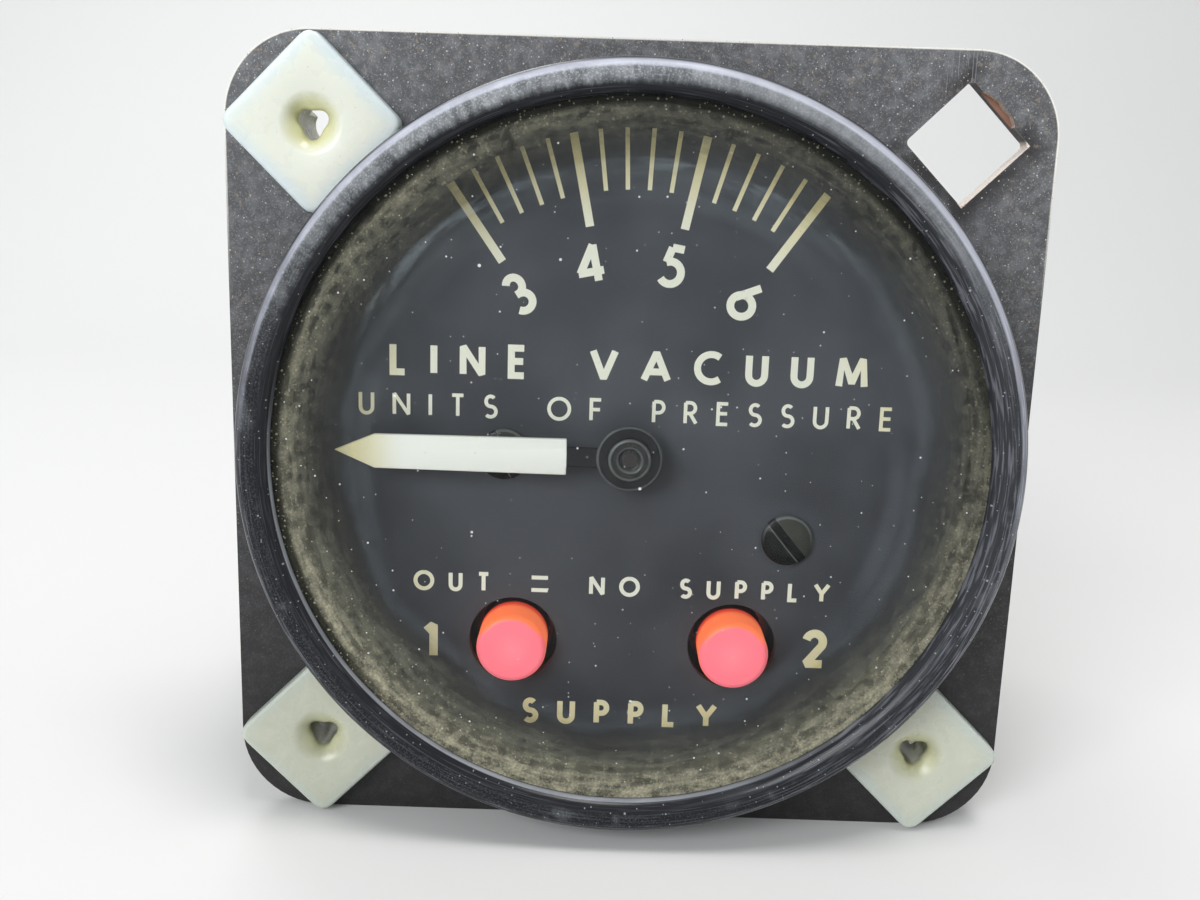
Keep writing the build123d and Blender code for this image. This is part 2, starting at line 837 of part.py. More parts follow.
def make_bracket():
    """Angle bracket that carries the capsule behind the rear plate."""
    low, top = bracket_levels()
    end = capsule_y + stem_radius + bracket_past_stem
    shelf = Pos(0, (rear_plate_back + end) / 2, (low + top) / 2)
    body = shelf * Box(bracket_width, end - rear_plate_back, bracket_thick)
    foot = Pos(0, rear_plate_back + bracket_thick / 2, top - bracket_foot / 2)
    body += foot * Box(bracket_width, bracket_thick, bracket_foot)
    body -= post(stem_radius, low, top, 0, capsule_y)
    for x, z in bracket_screw_places():
        body -= rod(bracket_screw_radius, rear_plate_back, rear_plate_back + bracket_thick, x, z)
    return body


def make_bracket_screws():
    """Screws through the bracket's foot."""
    screws = []
    for x, z in bracket_screw_places():
        screws.append(
            cheese_screw(
                bracket_screw_radius,
                bracket_screw_head_radius,
                bracket_screw_head_height,
                rear_plate_back + bracket_thick,
                bracket_thick + rear_plate_thick,
                True,
                x,
                z,
            )
        )
    return Compound(children=screws)


def make_stem():
    """Inlet of the capsule: stem through the shelf, block and rear nipple."""
    low, top = bracket_levels()
    body = post(stem_radius, low, capsule_bottom, 0, capsule_y)
    block = Pos(0, capsule_y, low - stem_block_height / 2)
    body += block * Box(stem_block_side, stem_block_side, stem_block_height)
    face = capsule_y + stem_block_side / 2
    body += rod(nipple_radius, face, face + nipple_length, 0, gauge_port_z)
    body -= rod(nipple_bore, capsule_y, face + nipple_length, 0, gauge_port_z)
    return body - post(nipple_bore, gauge_port_z, capsule_bottom, 0, capsule_y)


def stud_place():
    """Where the hairspring's outer end is held, as X and Z."""
    angle = 2 * pi * hairspring_turns
    reach = hairspring_outer + stud_radius
    return reach * cos(angle), reach * sin(angle)


def make_hairspring():
    """Flat spiral ribbon from the collet to the stud."""
    def point(turns, side):
        grow = (hairspring_outer - hairspring_inner) * turns / hairspring_turns
        radius = hairspring_inner + grow + side * hairspring_ribbon / 2
        return radius * cos(2 * pi * turns), radius * sin(2 * pi * turns)

    count = int(hairspring_turns * hairspring_points)
    steps = [hairspring_turns * number / count for number in range(count + 1)]
    outside = [point(turns, 1) for turns in steps]
    inside = [point(turns, -1) for turns in reversed(steps)]
    ribbon = make_face(Polyline(*(outside + inside), close=True))
    half = hairspring_width / 2
    return slab(ribbon, hairspring_y - half, hairspring_y + half)


def make_collet():
    """Split collet that grips the hairspring's inner end."""
    half = collet_length / 2
    outer = hairspring_inner - hairspring_ribbon / 2
    body = rod(outer, hairspring_y - half, hairspring_y + half)
    return body - rod(staff_body_radius, hairspring_y - half, hairspring_y + half)


def make_stud():
    """Stud in the rear plate for the hairspring's outer end."""
    x, z = stud_place()
    return rod(stud_radius, hairspring_y - hairspring_width, rear_plate_back, x, z)


def stop_pin_place():
    """Zero stop, just beyond the trailing edge of the sector at rest."""
    low, high = sector_tooth_numbers()
    lean = sector_spoke_width / (2 * sector_inner)
    spoke = radians(mesh_direction + (low - 0.5) * 360 / wheel_teeth) + lean
    aside = sector_spoke_width / 2 + stop_pin_radius + stop_pin_gap
    x = arbor_x + stop_pin_reach * cos(spoke) + aside * sin(spoke)
    z = arbor_z + stop_pin_reach * sin(spoke) - aside * cos(spoke)
    return x, z


def make_stop_pin():
    """Pin that the sector rests on when there is no suction."""
    x, z = stop_pin_place()
    return rod(stop_pin_radius, sector_front, rear_plate_back, x, z)


def make_cylinder(x):
    """Cylinder of a source indicator, flanged on the front plate."""
    outer = cylinder_bore + cylinder_wall
    body = rod(cylinder_flange_radius, cylinder_front, plate_front, x, indicator_z)
    body += rod(outer, plate_front, cylinder_back, x, indicator_z)
    body -= rod(button_radius + button_fit, cylinder_front, lip_back, x, indicator_z)
    return body - rod(cylinder_bore, lip_back, cylinder_back, x, indicator_z)


def make_ring_nut(x):
    """Ring nut that clamps a cylinder from behind the front plate."""
    hexagon = RegularPolygon(ring_nut_radius, 6, major_radius=False)
    inner = cylinder_bore + cylinder_wall
    outline = Pos(x, indicator_z) * (hexagon - Circle(inner))
    return slab(outline, plate_back, plate_back + ring_nut_thick)


def make_button(x):
    """Moulded button with a rounded face and a piston at its inner end."""
    front = dial_front - button_stand_out
    shaft = turned_button(front)
    piston = rod(cylinder_bore - button_fit, piston_front, piston_back)
    guide = rod(spring_mean_radius - 2 * spring_wire_radius, piston_back, piston_back + piston_thick)
    return Pos(x, 0, indicator_z) * (shaft + piston + guide)


def turned_button(front):
    """Round shaft of a button, from its face back to the piston."""
    corner = button_edge_round * (1 - sqrt(0.5))
    edge = ThreePointArc(
        (button_radius - button_edge_round, front),
        (button_radius - corner, front + corner),
        (button_radius, front + button_edge_round),
    )
    rest = Polyline(
        (button_radius, front + button_edge_round),
        (button_radius, piston_front),
        (0, piston_front),
        (0, front),
        (button_radius - button_edge_round, front),
    )
    return revolve(make_face(edge + rest), Axis.Y)


def make_button_spring(x):
    """Coil spring that pushes a button out when its source has no suction."""
    low = piston_back + spring_wire_radius
    high = cap_front - spring_wire_radius
    pitch = (high - low) / spring_turns
    path = Helix(pitch=pitch, height=high - low, radius=spring_mean_radius)
    start = Plane(origin=path @ 0, z_dir=path % 0)
    wire = start * RegularPolygon(spring_wire_radius, spring_wire_sides)
    coil = sweep(wire, path=path, is_frenet=True)
    return Pos(x, low, indicator_z) * Rot(-90, 0, 0) * coil


def make_end_cap(x):
    """Cap that closes a cylinder, with a nipple for its tube."""
    body = rod(cylinder_bore, cap_front, cylinder_back, x, indicator_z)
    body += rod(cylinder_bore + cylinder_wall, cylinder_back, cap_back, x, indicator_z)
    body += rod(nipple_radius, cap_back, cap_back + nipple_length, x, indicator_z)
    return body - rod(nipple_bore, cap_front, cap_back + nipple_length, x, indicator_z)


def make_tube(front, x, z):
    """Rubber tube between two nipples inside the case."""
    body = rod(tube_radius, front, can_inside, x, z)
    return body - rod(nipple_radius, front, can_inside, x, z)


def make_fitting(x, z):
    """Hose fitting: inner nipple, threaded shank, hexagon and barbed tail."""
    seat = can_back + port_boss_height
    hexagon = Pos(x, z) * RegularPolygon(fitting_hex / 2, 6, major_radius=False)
    body = slab(hexagon, seat, seat + fitting_hex_thick)
    body += rod(fitting_shank_radius, can_inside, seat, x, z)
    body += rod(nipple_radius, can_inside - nipple_length, can_inside, x, z)
    tail = [(0, seat + fitting_hex_thick), (barb_neck_radius, seat + fitting_hex_thick)]
    for number in range(barb_count):
        ridge = seat + fitting_hex_thick + barb_start + number * barb_pitch
        tail.append((barb_neck_radius, ridge))
        tail.append((barb_tip_radius, ridge))
        tail.append((barb_neck_radius, ridge + barb_length))
    tail.append((0, tail[-1][1]))
    body += Pos(x, 0, z) * turned(*tail)
    return body - rod(fitting_bore_radius, can_inside - nipple_length, tail[-1][1], x, z)


def make_nut(side_x, side_z):
    """Nylon mounting nut: square head, split shank and two latches behind the flange."""
    x = side_x * hole_half
    z = side_z * hole_half
    body = slab(diamond(nut_head_side, nut_head_corner, x, z), nut_seat_gap, flange_front)
    shank_side = hole_side - 2 * nut_shank_clearance
    shank = slab(diamond(shank_side, nut_shank_corner, x, z), flange_front, flange_front + nut_shank_length)
    shank = chamfer(shank.faces().sort_by(Axis.Y)[-1].edges(), nut_tip_bevel)
    body += shank
    latch_base = flange_back + nut_latch_gap
    half = shank_side / 2
    wedge = make_face(
        Polyline(
            (half - nut_latch_root, latch_base),
            (half + nut_latch_height, latch_base),
            (half, latch_base + nut_latch_length),
            (half - nut_latch_root, latch_base + nut_latch_length),
            close=True,
        )
    )
    latch = Pos(0, 0, -shank_side / 4) * extrude(wedge, amount=shank_side / 2)
    for angle in (45, 225):
        body += Pos(x, 0, z) * Rot(0, angle, 0) * latch
    body -= rod(nut_bore_radius, nut_seat_gap, flange_front + nut_shank_length, x, z)
    dish_floor = nut_seat_gap + nut_dish_depth
    dish = turned(
        (0, nut_seat_gap),
        (nut_dish_radius, nut_seat_gap),
        (nut_bore_radius, dish_floor),
        (0, dish_floor),
    )
    body -= Pos(x, 0, z) * dish
    slot = Pos(x, z) * Rot(0, 0, 45) * Rectangle(2 * nut_head_side, nut_slot_width)
    slot_front = flange_front + nut_slot_start
    return body - slab(slot, slot_front, flange_front + nut_shank_length)


def main():
    """Build every sub-part and write it."""
    save("case", make_case())
    save("bezel_ring", make_bezel())
    save("glass", make_glass())
    save("glass_gasket", make_gasket())
    save("dial", make_dial())
    save("scale_marks", make_scale_marks())
    for name, place, angle in zip(("right", "left"), dial_screw_places, dial_screw_angles):
        save(f"dial_screw_{name}", make_dial_screw(*place, angle))
        save(f"dial_post_{name}", make_dial_post(*place))
    save("movement_front_plate", make_front_plate())
    save("movement_rear_plate", make_rear_plate())
    for number, place in enumerate(pillar_places, 1):
        save(f"movement_pillar_{number}", make_pillar(*place))
    save("pillar_screws", make_pillar_screws())
    save("plate_screws", make_plate_screws())
    save("staff_bush_front", make_bush(plate_front, plate_back, staff_radius, 0, 0))
    save("staff_bush_rear", make_bush(rear_plate_front, rear_plate_back, staff_radius, 0, 0))
    save("arbor_bush_front", make_bush(plate_front, plate_back, arbor_radius, arbor_x, arbor_z))
    save("arbor_bush_rear", make_bush(rear_plate_front, rear_plate_back, arbor_radius, arbor_x, arbor_z))
    save("pointer", make_pointer())
    save("pointer_hub", make_hub())
    save("pointer_staff", make_staff())
    save("hairspring", make_hairspring())
    save("hairspring_collet", make_collet())
    save("hairspring_stud", make_stud())
    save("sector_gear", make_sector())
    save("sector_arbor", make_arbor())
    save("zero_stop_pin", make_stop_pin())
    save("crank_arm", make_crank())
    save("crank_pin", make_crank_pin())
    save("link", make_link())
    save("link_pin", make_link_pin())
    save("capsule", make_capsule())
    save("capsule_boss", make_capsule_boss())
    save("capsule_stem", make_stem())
    save("capsule_bracket", make_bracket())
    save("bracket_screws", make_bracket_screws())
    for side, x in indicator_places.items():
        save(f"indicator_button_{side}", make_button(x))
        save(f"indicator_cylinder_{side}", make_cylinder(x))
        save(f"indicator_ring_nut_{side}", make_ring_nut(x))
        save(f"indicator_spring_{side}", make_button_spring(x))
        save(f"indicator_end_cap_{side}", make_end_cap(x))
        save(f"source_tube_{side}", make_tube(cap_back, x, indicator_z))
    save("gauge_tube", make_tube(capsule_y + stem_block_side / 2, 0, gauge_port_z))
    for name, (x, z) in port_places().items():
        save(f"{name}_fitting", make_fitting(x, z))
    save("mounting_nut_upper_left", make_nut(-1, 1))
    save("mounting_nut_lower_left", make_nut(-1, -1))
    save("mounting_nut_lower_right", make_nut(1, -1))


if __name__ == "__main__":
    main()
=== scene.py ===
import json
import logging
import math
from contextlib import contextmanager
from dataclasses import dataclass, field
from enum import Enum
from typing import Callable, Iterable, Iterator, Sequence

import bmesh
import bpy
from mathutils import Matrix, Vector


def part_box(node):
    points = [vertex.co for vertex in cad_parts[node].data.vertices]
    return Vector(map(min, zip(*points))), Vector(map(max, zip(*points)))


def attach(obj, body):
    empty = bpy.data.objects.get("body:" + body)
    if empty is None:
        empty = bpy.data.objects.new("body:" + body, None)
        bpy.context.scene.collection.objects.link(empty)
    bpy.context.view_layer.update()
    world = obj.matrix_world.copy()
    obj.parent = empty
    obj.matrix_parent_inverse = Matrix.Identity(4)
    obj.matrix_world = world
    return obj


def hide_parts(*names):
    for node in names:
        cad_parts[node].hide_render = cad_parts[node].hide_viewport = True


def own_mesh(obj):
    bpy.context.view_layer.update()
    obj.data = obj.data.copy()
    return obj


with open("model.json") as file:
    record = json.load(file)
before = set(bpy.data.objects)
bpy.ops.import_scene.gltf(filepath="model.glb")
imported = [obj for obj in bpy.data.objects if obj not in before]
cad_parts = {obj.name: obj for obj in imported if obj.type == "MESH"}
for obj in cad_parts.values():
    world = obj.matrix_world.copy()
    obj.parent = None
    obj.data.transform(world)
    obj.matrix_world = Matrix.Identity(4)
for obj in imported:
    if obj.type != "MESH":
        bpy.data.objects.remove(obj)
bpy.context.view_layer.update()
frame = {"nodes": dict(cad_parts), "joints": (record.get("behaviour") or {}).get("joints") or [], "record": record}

LOG = logging.getLogger("suction_indicator")

MM = 0.001
DIAGONAL = math.sqrt(0.5)
SAME_IN_FRAME = 1e-6
SAME_WHEN_MADE = 1e-7
Colour = tuple[float, float, float]
Point = tuple[float, float]
Point3 = tuple[float, float, float]
Stroke = list[Point]
Place = Callable[[Point], Point]
Socket = bpy.types.NodeSocket
Material = bpy.types.Material
Mesh = bpy.types.Mesh
Item = bpy.types.Object
Data = bpy.types.ID


class Body(Enum):
    """Bodies of the frame that pieces of this scene ride on."""

    HOUSING = "housing"
    POINTER = "pointer_body"


class Align(Enum):
    """How a line of print is placed from its anchor."""

    SPREAD = "spread"
    CENTRE = "centre"


# Places that the frame's own model fixes, in millimetres


@dataclass(frozen=True)
class Places:
    """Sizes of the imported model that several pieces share."""

    hole_half: float = 23.5585
    flange_half: float = 30.1625
    flange_corner: float = 6.35
    flange_front: float = 1.6
    flange_back: float = 3.2
    hole_half_side: float = 3.175
    nut_front: float = 0.1
    dial_front: float = 1.6
    glass_front: float = -3.6
    crown_front: float = -4.8
    bezel_radius: float = 28.5
    lip_radius: float = 26.0
    button_x: float = 8.6
    button_z: float = -15.4
    button_front: float = -0.7


PLACES = Places()


# Shader maths


class Value:
    """One number of a shader tree, whose arithmetic adds Math nodes."""

    def __init__(self, painter: "Painter", socket: Socket) -> None:
        """Keep the tree and the socket that carries the number.

        Args:
            painter: the tree that the socket belongs to.
            socket: an output socket of one number.
        """
        self.painter = painter
        self.socket = socket

    def _math(self, operation: str, *others: "Value | float", clamp: bool = False) -> "Value":
        """Add a Math node over this value and others.

        Args:
            operation: the Math node's operation.
            others: the second and third numbers, if the operation takes them.
            clamp: whether the result is held between 0 and 1.

        Returns:
            The node's result.
        """
        settings = {"operation": operation, "use_clamp": clamp}
        sockets = dict(enumerate((self, *others)))
        made = self.painter.node("ShaderNodeMath", settings, sockets)
        return Value(self.painter, made.outputs[0])

    def __add__(self, other: "Value | float") -> "Value":
        """Sum."""
        return self._math("ADD", other)

    __radd__ = __add__

    def __sub__(self, other: "Value | float") -> "Value":
        """Difference."""
        return self._math("SUBTRACT", other)

    def __rsub__(self, other: float) -> "Value":
        """Difference with a plain number first."""
        return (self * -1.0) + other

    def __mul__(self, other: "Value | float") -> "Value":
        """Product."""
        return self._math("MULTIPLY", other)

    __rmul__ = __mul__

    def __truediv__(self, other: "Value | float") -> "Value":
        """Quotient."""
        return self._math("DIVIDE", other)

    def __pow__(self, other: "Value | float") -> "Value":
        """Power."""
        return self._math("POWER", other)

    def __abs__(self) -> "Value":
        """Size without sign."""
        return self._math("ABSOLUTE")

    def at_least(self, other: "Value | float") -> "Value":
        """The larger of two numbers."""
        return self._math("MAXIMUM", other)

    def at_most(self, other: "Value | float") -> "Value":
        """The smaller of two numbers."""
        return self._math("MINIMUM", other)

    def root(self) -> "Value":
        """Square root."""
        return self._math("SQRT")

    def held(self) -> "Value":
        """The number held between 0 and 1."""
        return self._math("ADD", 0.0, clamp=True)

    def rise(self, low: float, high: float) -> "Value":
        """Smooth step from 0 at low to 1 at high; low may be the larger.

        Args:
            low: where the result is 0.
            high: where the result is 1.

        Returns:
            The step.
        """
        sockets = {"Value": self, "From Min": low, "From Max": high}
        smooth = {"interpolation_type": "SMOOTHSTEP"}
        step = self.painter.node("ShaderNodeMapRange", smooth, sockets)
        return Value(self.painter, step.outputs["Result"])

    def band(self, low: float, high: float, soft: float) -> "Value":
        """1 between low and high, with soft edges outside them.

        Args:
            low: start of the band.
            high: end of the band.
            soft: width of each edge.

        Returns:
            The band's mask.
        """
        return self.rise(low - soft, low) * self.rise(high + soft, high)


Spot = tuple[Value, Value, Value]


class Tree:
    """A node tree that is built node by node."""

    def __init__(self, tree: bpy.types.NodeTree) -> None:
        """Empty the tree and keep it.

        Args:
            tree: the tree of a material, of the world or of a shape.
        """
        self.tree = tree
        tree.nodes.clear()

    def node(
        self, kind: str, settings: dict | None = None, sockets: dict | None = None
    ) -> bpy.types.Node:
        """Add a node, set its settings, then fill its sockets.

        Args:
            kind: the node's type name.
            settings: the node's own properties.
            sockets: values or links by socket name or number.

        Returns:
            The node.
        """
        made = self.tree.nodes.new(kind)
        for key, value in (settings or {}).items():
            setattr(made, key, value)
        for key, value in (sockets or {}).items():
            self.fill(made.inputs[key], value)
        return made

    def fill(self, socket: Socket, value: object) -> None:
        """Link a value or socket into a socket, or set its default.

        Args:
            socket: the input to fill.
            value: a Value, a socket, a number, a vector or a colour.
        """
        value = getattr(value, "socket", value)
        if isinstance(value, Socket):
            self.tree.links.new(value, socket)
        elif socket.type == "RGBA":
            socket.default_value = (*value, 1.0)
        else:
            socket.default_value = value


class Painter(Tree):
    """Builds the node tree of one material."""

    def __init__(self, name: str) -> None:
        """Start an empty material.

        Args:
            name: the material's name.
        """
        self.material = bpy.data.materials.new(name)
        self.material.use_nodes = True
        super().__init__(self.material.node_tree)
        self._place: Spot | None = None

    def place(self) -> Spot:
        """Object coordinates in millimetres.

        Returns:
            X, Y and Z.
        """
        if self._place is None:
            sockets = {0: self.node("ShaderNodeTexCoord").outputs["Object"], "Scale": 1.0 / MM}
            scaled = self.node("ShaderNodeVectorMath", {"operation": "SCALE"}, sockets)
            parts = self.node("ShaderNodeSeparateXYZ", None, {0: scaled.outputs[0]})
            self._place = tuple(Value(self, parts.outputs[axis]) for axis in "XYZ")
        return self._place

    def vector(self, x: Value | float, y: Value | float, z: Value | float) -> Socket:
        """Join three numbers to a vector."""
        return self.node("ShaderNodeCombineXYZ", None, {"X": x, "Y": y, "Z": z}).outputs[0]

    def noise(
        self, size: float, detail: float = 2.0, shift: float = 0.0, where: Spot | None = None
    ) -> Value:
        """Smooth noise of about the given grain, from 0 to 1.

        Args:
            size: width of a grain in millimetres.
            detail: number of finer layers.
            shift: moves the pattern so that two noises differ.
            where: coordinates in place of the object's own.

        Returns:
            The noise.
        """
        x, y, z = self.place()
        spot = self.vector(*(where or (x + shift, y, z)))
        sockets = {"Vector": spot, "Scale": 1.0 / size, "Detail": detail}
        return Value(self, self.node("ShaderNodeTexNoise", None, sockets).outputs["Fac"])

    def specks(self, spacing: float, radius: float, share: float, shift: float = 0.0) -> Value:
        """Small round specks scattered over faces that look along the dial axis.

        Args:
            spacing: mean distance between places for a speck, in millimetres.
            radius: largest radius of a speck, in millimetres.
            share: share of the places that hold one.
            shift: moves the pattern.

        Returns:
            1 on a speck and 0 elsewhere.
        """
        x, _, z = self.place()
        sockets = {"Vector": self.vector(x + shift, z, 0.0), "Scale": 1.0 / spacing}
        cells = self.node("ShaderNodeTexVoronoi", {"voronoi_dimensions": "2D"}, sockets)
        parts = self.node("ShaderNodeSeparateColor", None, {0: cells.outputs["Color"]})
        pick = Value(self, parts.outputs[0])
        reach = Value(self, cells.outputs["Distance"]) * spacing
        least = 1.0 - share
        size = pick.rise(least, least + 0.02) * (0.45 + pick.rise(least, 1.0) * 0.55) * radius
        return (size - reach).rise(0.0, radius * 0.25)

    def mix(self, factor: Value | float, first: object, second: object) -> Socket:
        """Mix two colours.

        Args:
            factor: share of the second colour.
            first: colour or colour socket.
            second: colour or colour socket.

        Returns:
            The mixed colour.
        """
        sockets = {"Factor": factor, 6: first, 7: second}
        return self.node("ShaderNodeMix", {"data_type": "RGBA"}, sockets).outputs[2]

    def layers(self, colour: object, *coats: tuple[Value | float, object]) -> Socket:
        """Lay coats over a colour.

        Args:
            colour: colour or colour socket below.
            coats: each coat's share and its colour, the lowest first.

        Returns:
            The colour on top.
        """
        for share, coat in coats:
            colour = self.mix(share, colour, coat)
        return colour

    def bump(self, height: Value, depth: float) -> Socket:
        """Bump of a depth in millimetres for the Normal socket.

        Args:
            height: pattern from 0 to 1.
            depth: height of the pattern's peaks in millimetres.

        Returns:
            The bent normal.
        """
        sockets = {"Height": height, "Distance": depth * MM, "Strength": 1.0}
        return self.node("ShaderNodeBump", None, sockets).outputs["Normal"]

    def shader(self, kind: str, **sockets: object) -> Socket:
        """Add a shader.

        Args:
            kind: the end of its type name.
            sockets: its inputs; underscores in names stand for spaces.

        Returns:
            The shader.
        """
        named = {key.replace("_", " "): value for key, value in sockets.items()}
        return self.node("ShaderNodeBsdf" + kind, None, named).outputs[0]

    def blend(self, share: Value, first: Socket, second: Socket) -> Socket:
        """Mix two shaders by the share of the second."""
        return self.node("ShaderNodeMixShader", None, {0: share, 1: first, 2: second}).outputs[0]


def distance(x: Value, z: Value) -> Value:
    """Distance from an axis along Y."""
    return (x * x + z * z).root()


# Finishes


class Finish:
    """A finish, whose nodes its subclasses lay."""

    name: str

    def make(self) -> Material:
        """Build the material.

        Returns:
            The material.
        """
        paint = Painter(self.name)
        paint.node("ShaderNodeOutputMaterial", None, {"Surface": self.lay(paint)})
        return paint.material

    def lay(self, paint: Painter) -> Socket:
        """Lay the nodes.

        Args:
            paint: what lays them.

        Returns:
            The shader.
        """
        raise NotImplementedError


@dataclass(frozen=True)
class Phenolic(Finish):
    """Moulded black case: dusty front, a pale line on its upper edge that is wear and painted highlight, hole
    walls painted paler on their lit side and a reddish core where it is chipped.
    """

    name: str = "black_phenolic"
    base: Colour = (0.017, 0.016, 0.017)
    dust: Colour = (0.36, 0.37, 0.39)
    tan: Colour = (0.33, 0.26, 0.19)
    raw: Colour = (0.66, 0.47, 0.38)
    core: Colour = (0.27, 0.14, 0.095)
    edge: Colour = (0.80, 0.78, 0.72)
    dust_height: Point = (-27.0, 38.0)
    chip_corner: Point = (20.0, 21.0)
    chip_depth: Point = (1.62, 2.56)

    def lay(self, paint: Painter) -> Socket:
        """Lay the nodes.

        Args:
            paint: what lays them.

        Returns:
            The shader.
        """
        x, y, z = paint.place()
        front = y.rise(PLACES.flange_front + 0.06, PLACES.flange_front + 0.02)
        inner = PLACES.flange_half - PLACES.flange_corner
        out_x = abs(x) - inner
        out_z = abs(z) - inner
        corner = distance(out_x.at_least(0.0), out_z.at_least(0.0))
        inside = (corner + out_x.at_least(out_z).at_most(0.0)) * -1.0 + PLACES.flange_corner
        hole_x = abs(x) - PLACES.hole_half
        hole_z = abs(z) - PLACES.hole_half
        along = (hole_x - hole_z) * DIAGONAL
        outward = (hole_x + hole_z) * DIAGONAL
        from_hole = abs(along).at_least(abs(outward)) - PLACES.hole_half_side
        grain = paint.noise(0.11, 3.0)
        clumps = paint.noise(0.9, 4.0, 7.0)
        cloud = paint.noise(6.0, 3.0, 3.0)
        height = z.rise(*self.dust_height)
        speckle = grain.rise(0.50, 0.70) * 0.75 + clumps.rise(0.42, 0.66) * 0.40
        clean = from_hole.rise(1.9, 0.2) * cloud.rise(0.38, 0.55)
        scored = paint.noise(0.11, 1.0, where=(x, y * 0.0, z * 0.02)).rise(0.56, 0.66)
        scored = scored * from_hole.rise(4.0, 0.5) * abs(x - 22.6).rise(1.5, 0.9)
        scored = scored * z.rise(26.0, 27.5)
        cover = height * 0.17 + cloud * 0.13 * height + speckle * (height * 0.36 + 0.045)
        cover = cover * (1.0 - clean * 0.85)
        dusty = ((cover + scored * 0.35) * (front * 0.85 + 0.15)).held()
        fluff = paint.specks(0.55, 0.07, 0.22, 41.0) + paint.specks(0.3, 0.045, 0.2, 47.0)
        fluff = fluff * front * height * (0.35 + clumps * 0.5)
        dirt = paint.noise(0.35, 3.0, 21.0).rise(0.60, 0.70) * inside.rise(7.0, 0.3)
        dirt = dirt * front * height
        # Pale line along the flange's outline on its upper part: wear and a painted highlight of the lit rounded
        # edge.
        wear_and_highlight = inside.rise(0.17, 0.06) * z.rise(10.0, 24.0) * y.rise(2.1, 1.62)
        wear_and_highlight = wear_and_highlight * grain.rise(0.2, 0.4)
        # Pale raw phenolic on the holes' walls, strong only on the side that light falls on: partly painted light.
        lit_hole_wall = from_hole.rise(0.07, 0.02)
        lit_hole_wall = lit_hole_wall * y.band(PLACES.flange_front - 0.1, PLACES.flange_back, 0.02)
        lit_hole_wall = lit_hole_wall * (along.rise(2.6, 3.0) * 0.9 + 0.08)
        broken = from_hole.band(0.05, 1.3, 0.02) * y.band(*self.chip_depth, 0.01)
        broken = broken * x.rise(*self.chip_corner) * z.rise(*self.chip_corner)
        bright = y.rise(2.5, 2.3) * (0.6 + clumps * 0.4)
        hole_wall_colour = paint.mix(grain.rise(0.35, 0.6), self.raw, self.edge)
        bare = paint.mix(grain.rise(0.4, 0.6), self.raw, self.edge)
        colour = paint.layers(
            self.base,
            (dusty, self.dust),
            (fluff.held(), self.edge),
            (dirt * 0.4, self.tan),
            (wear_and_highlight, self.edge),
            (lit_hole_wall * 0.95, hole_wall_colour),
            (broken, paint.mix(bright * 0.85, self.core, bare)),
        )
        return paint.shader(
            "Principled",
            Base_Color=colour,
            Roughness=dusty * 0.35 + 0.42,
            Specular_IOR_Level=0.3,
            Normal=paint.bump(grain * 0.4 + clumps * 0.6, 0.012),
        )


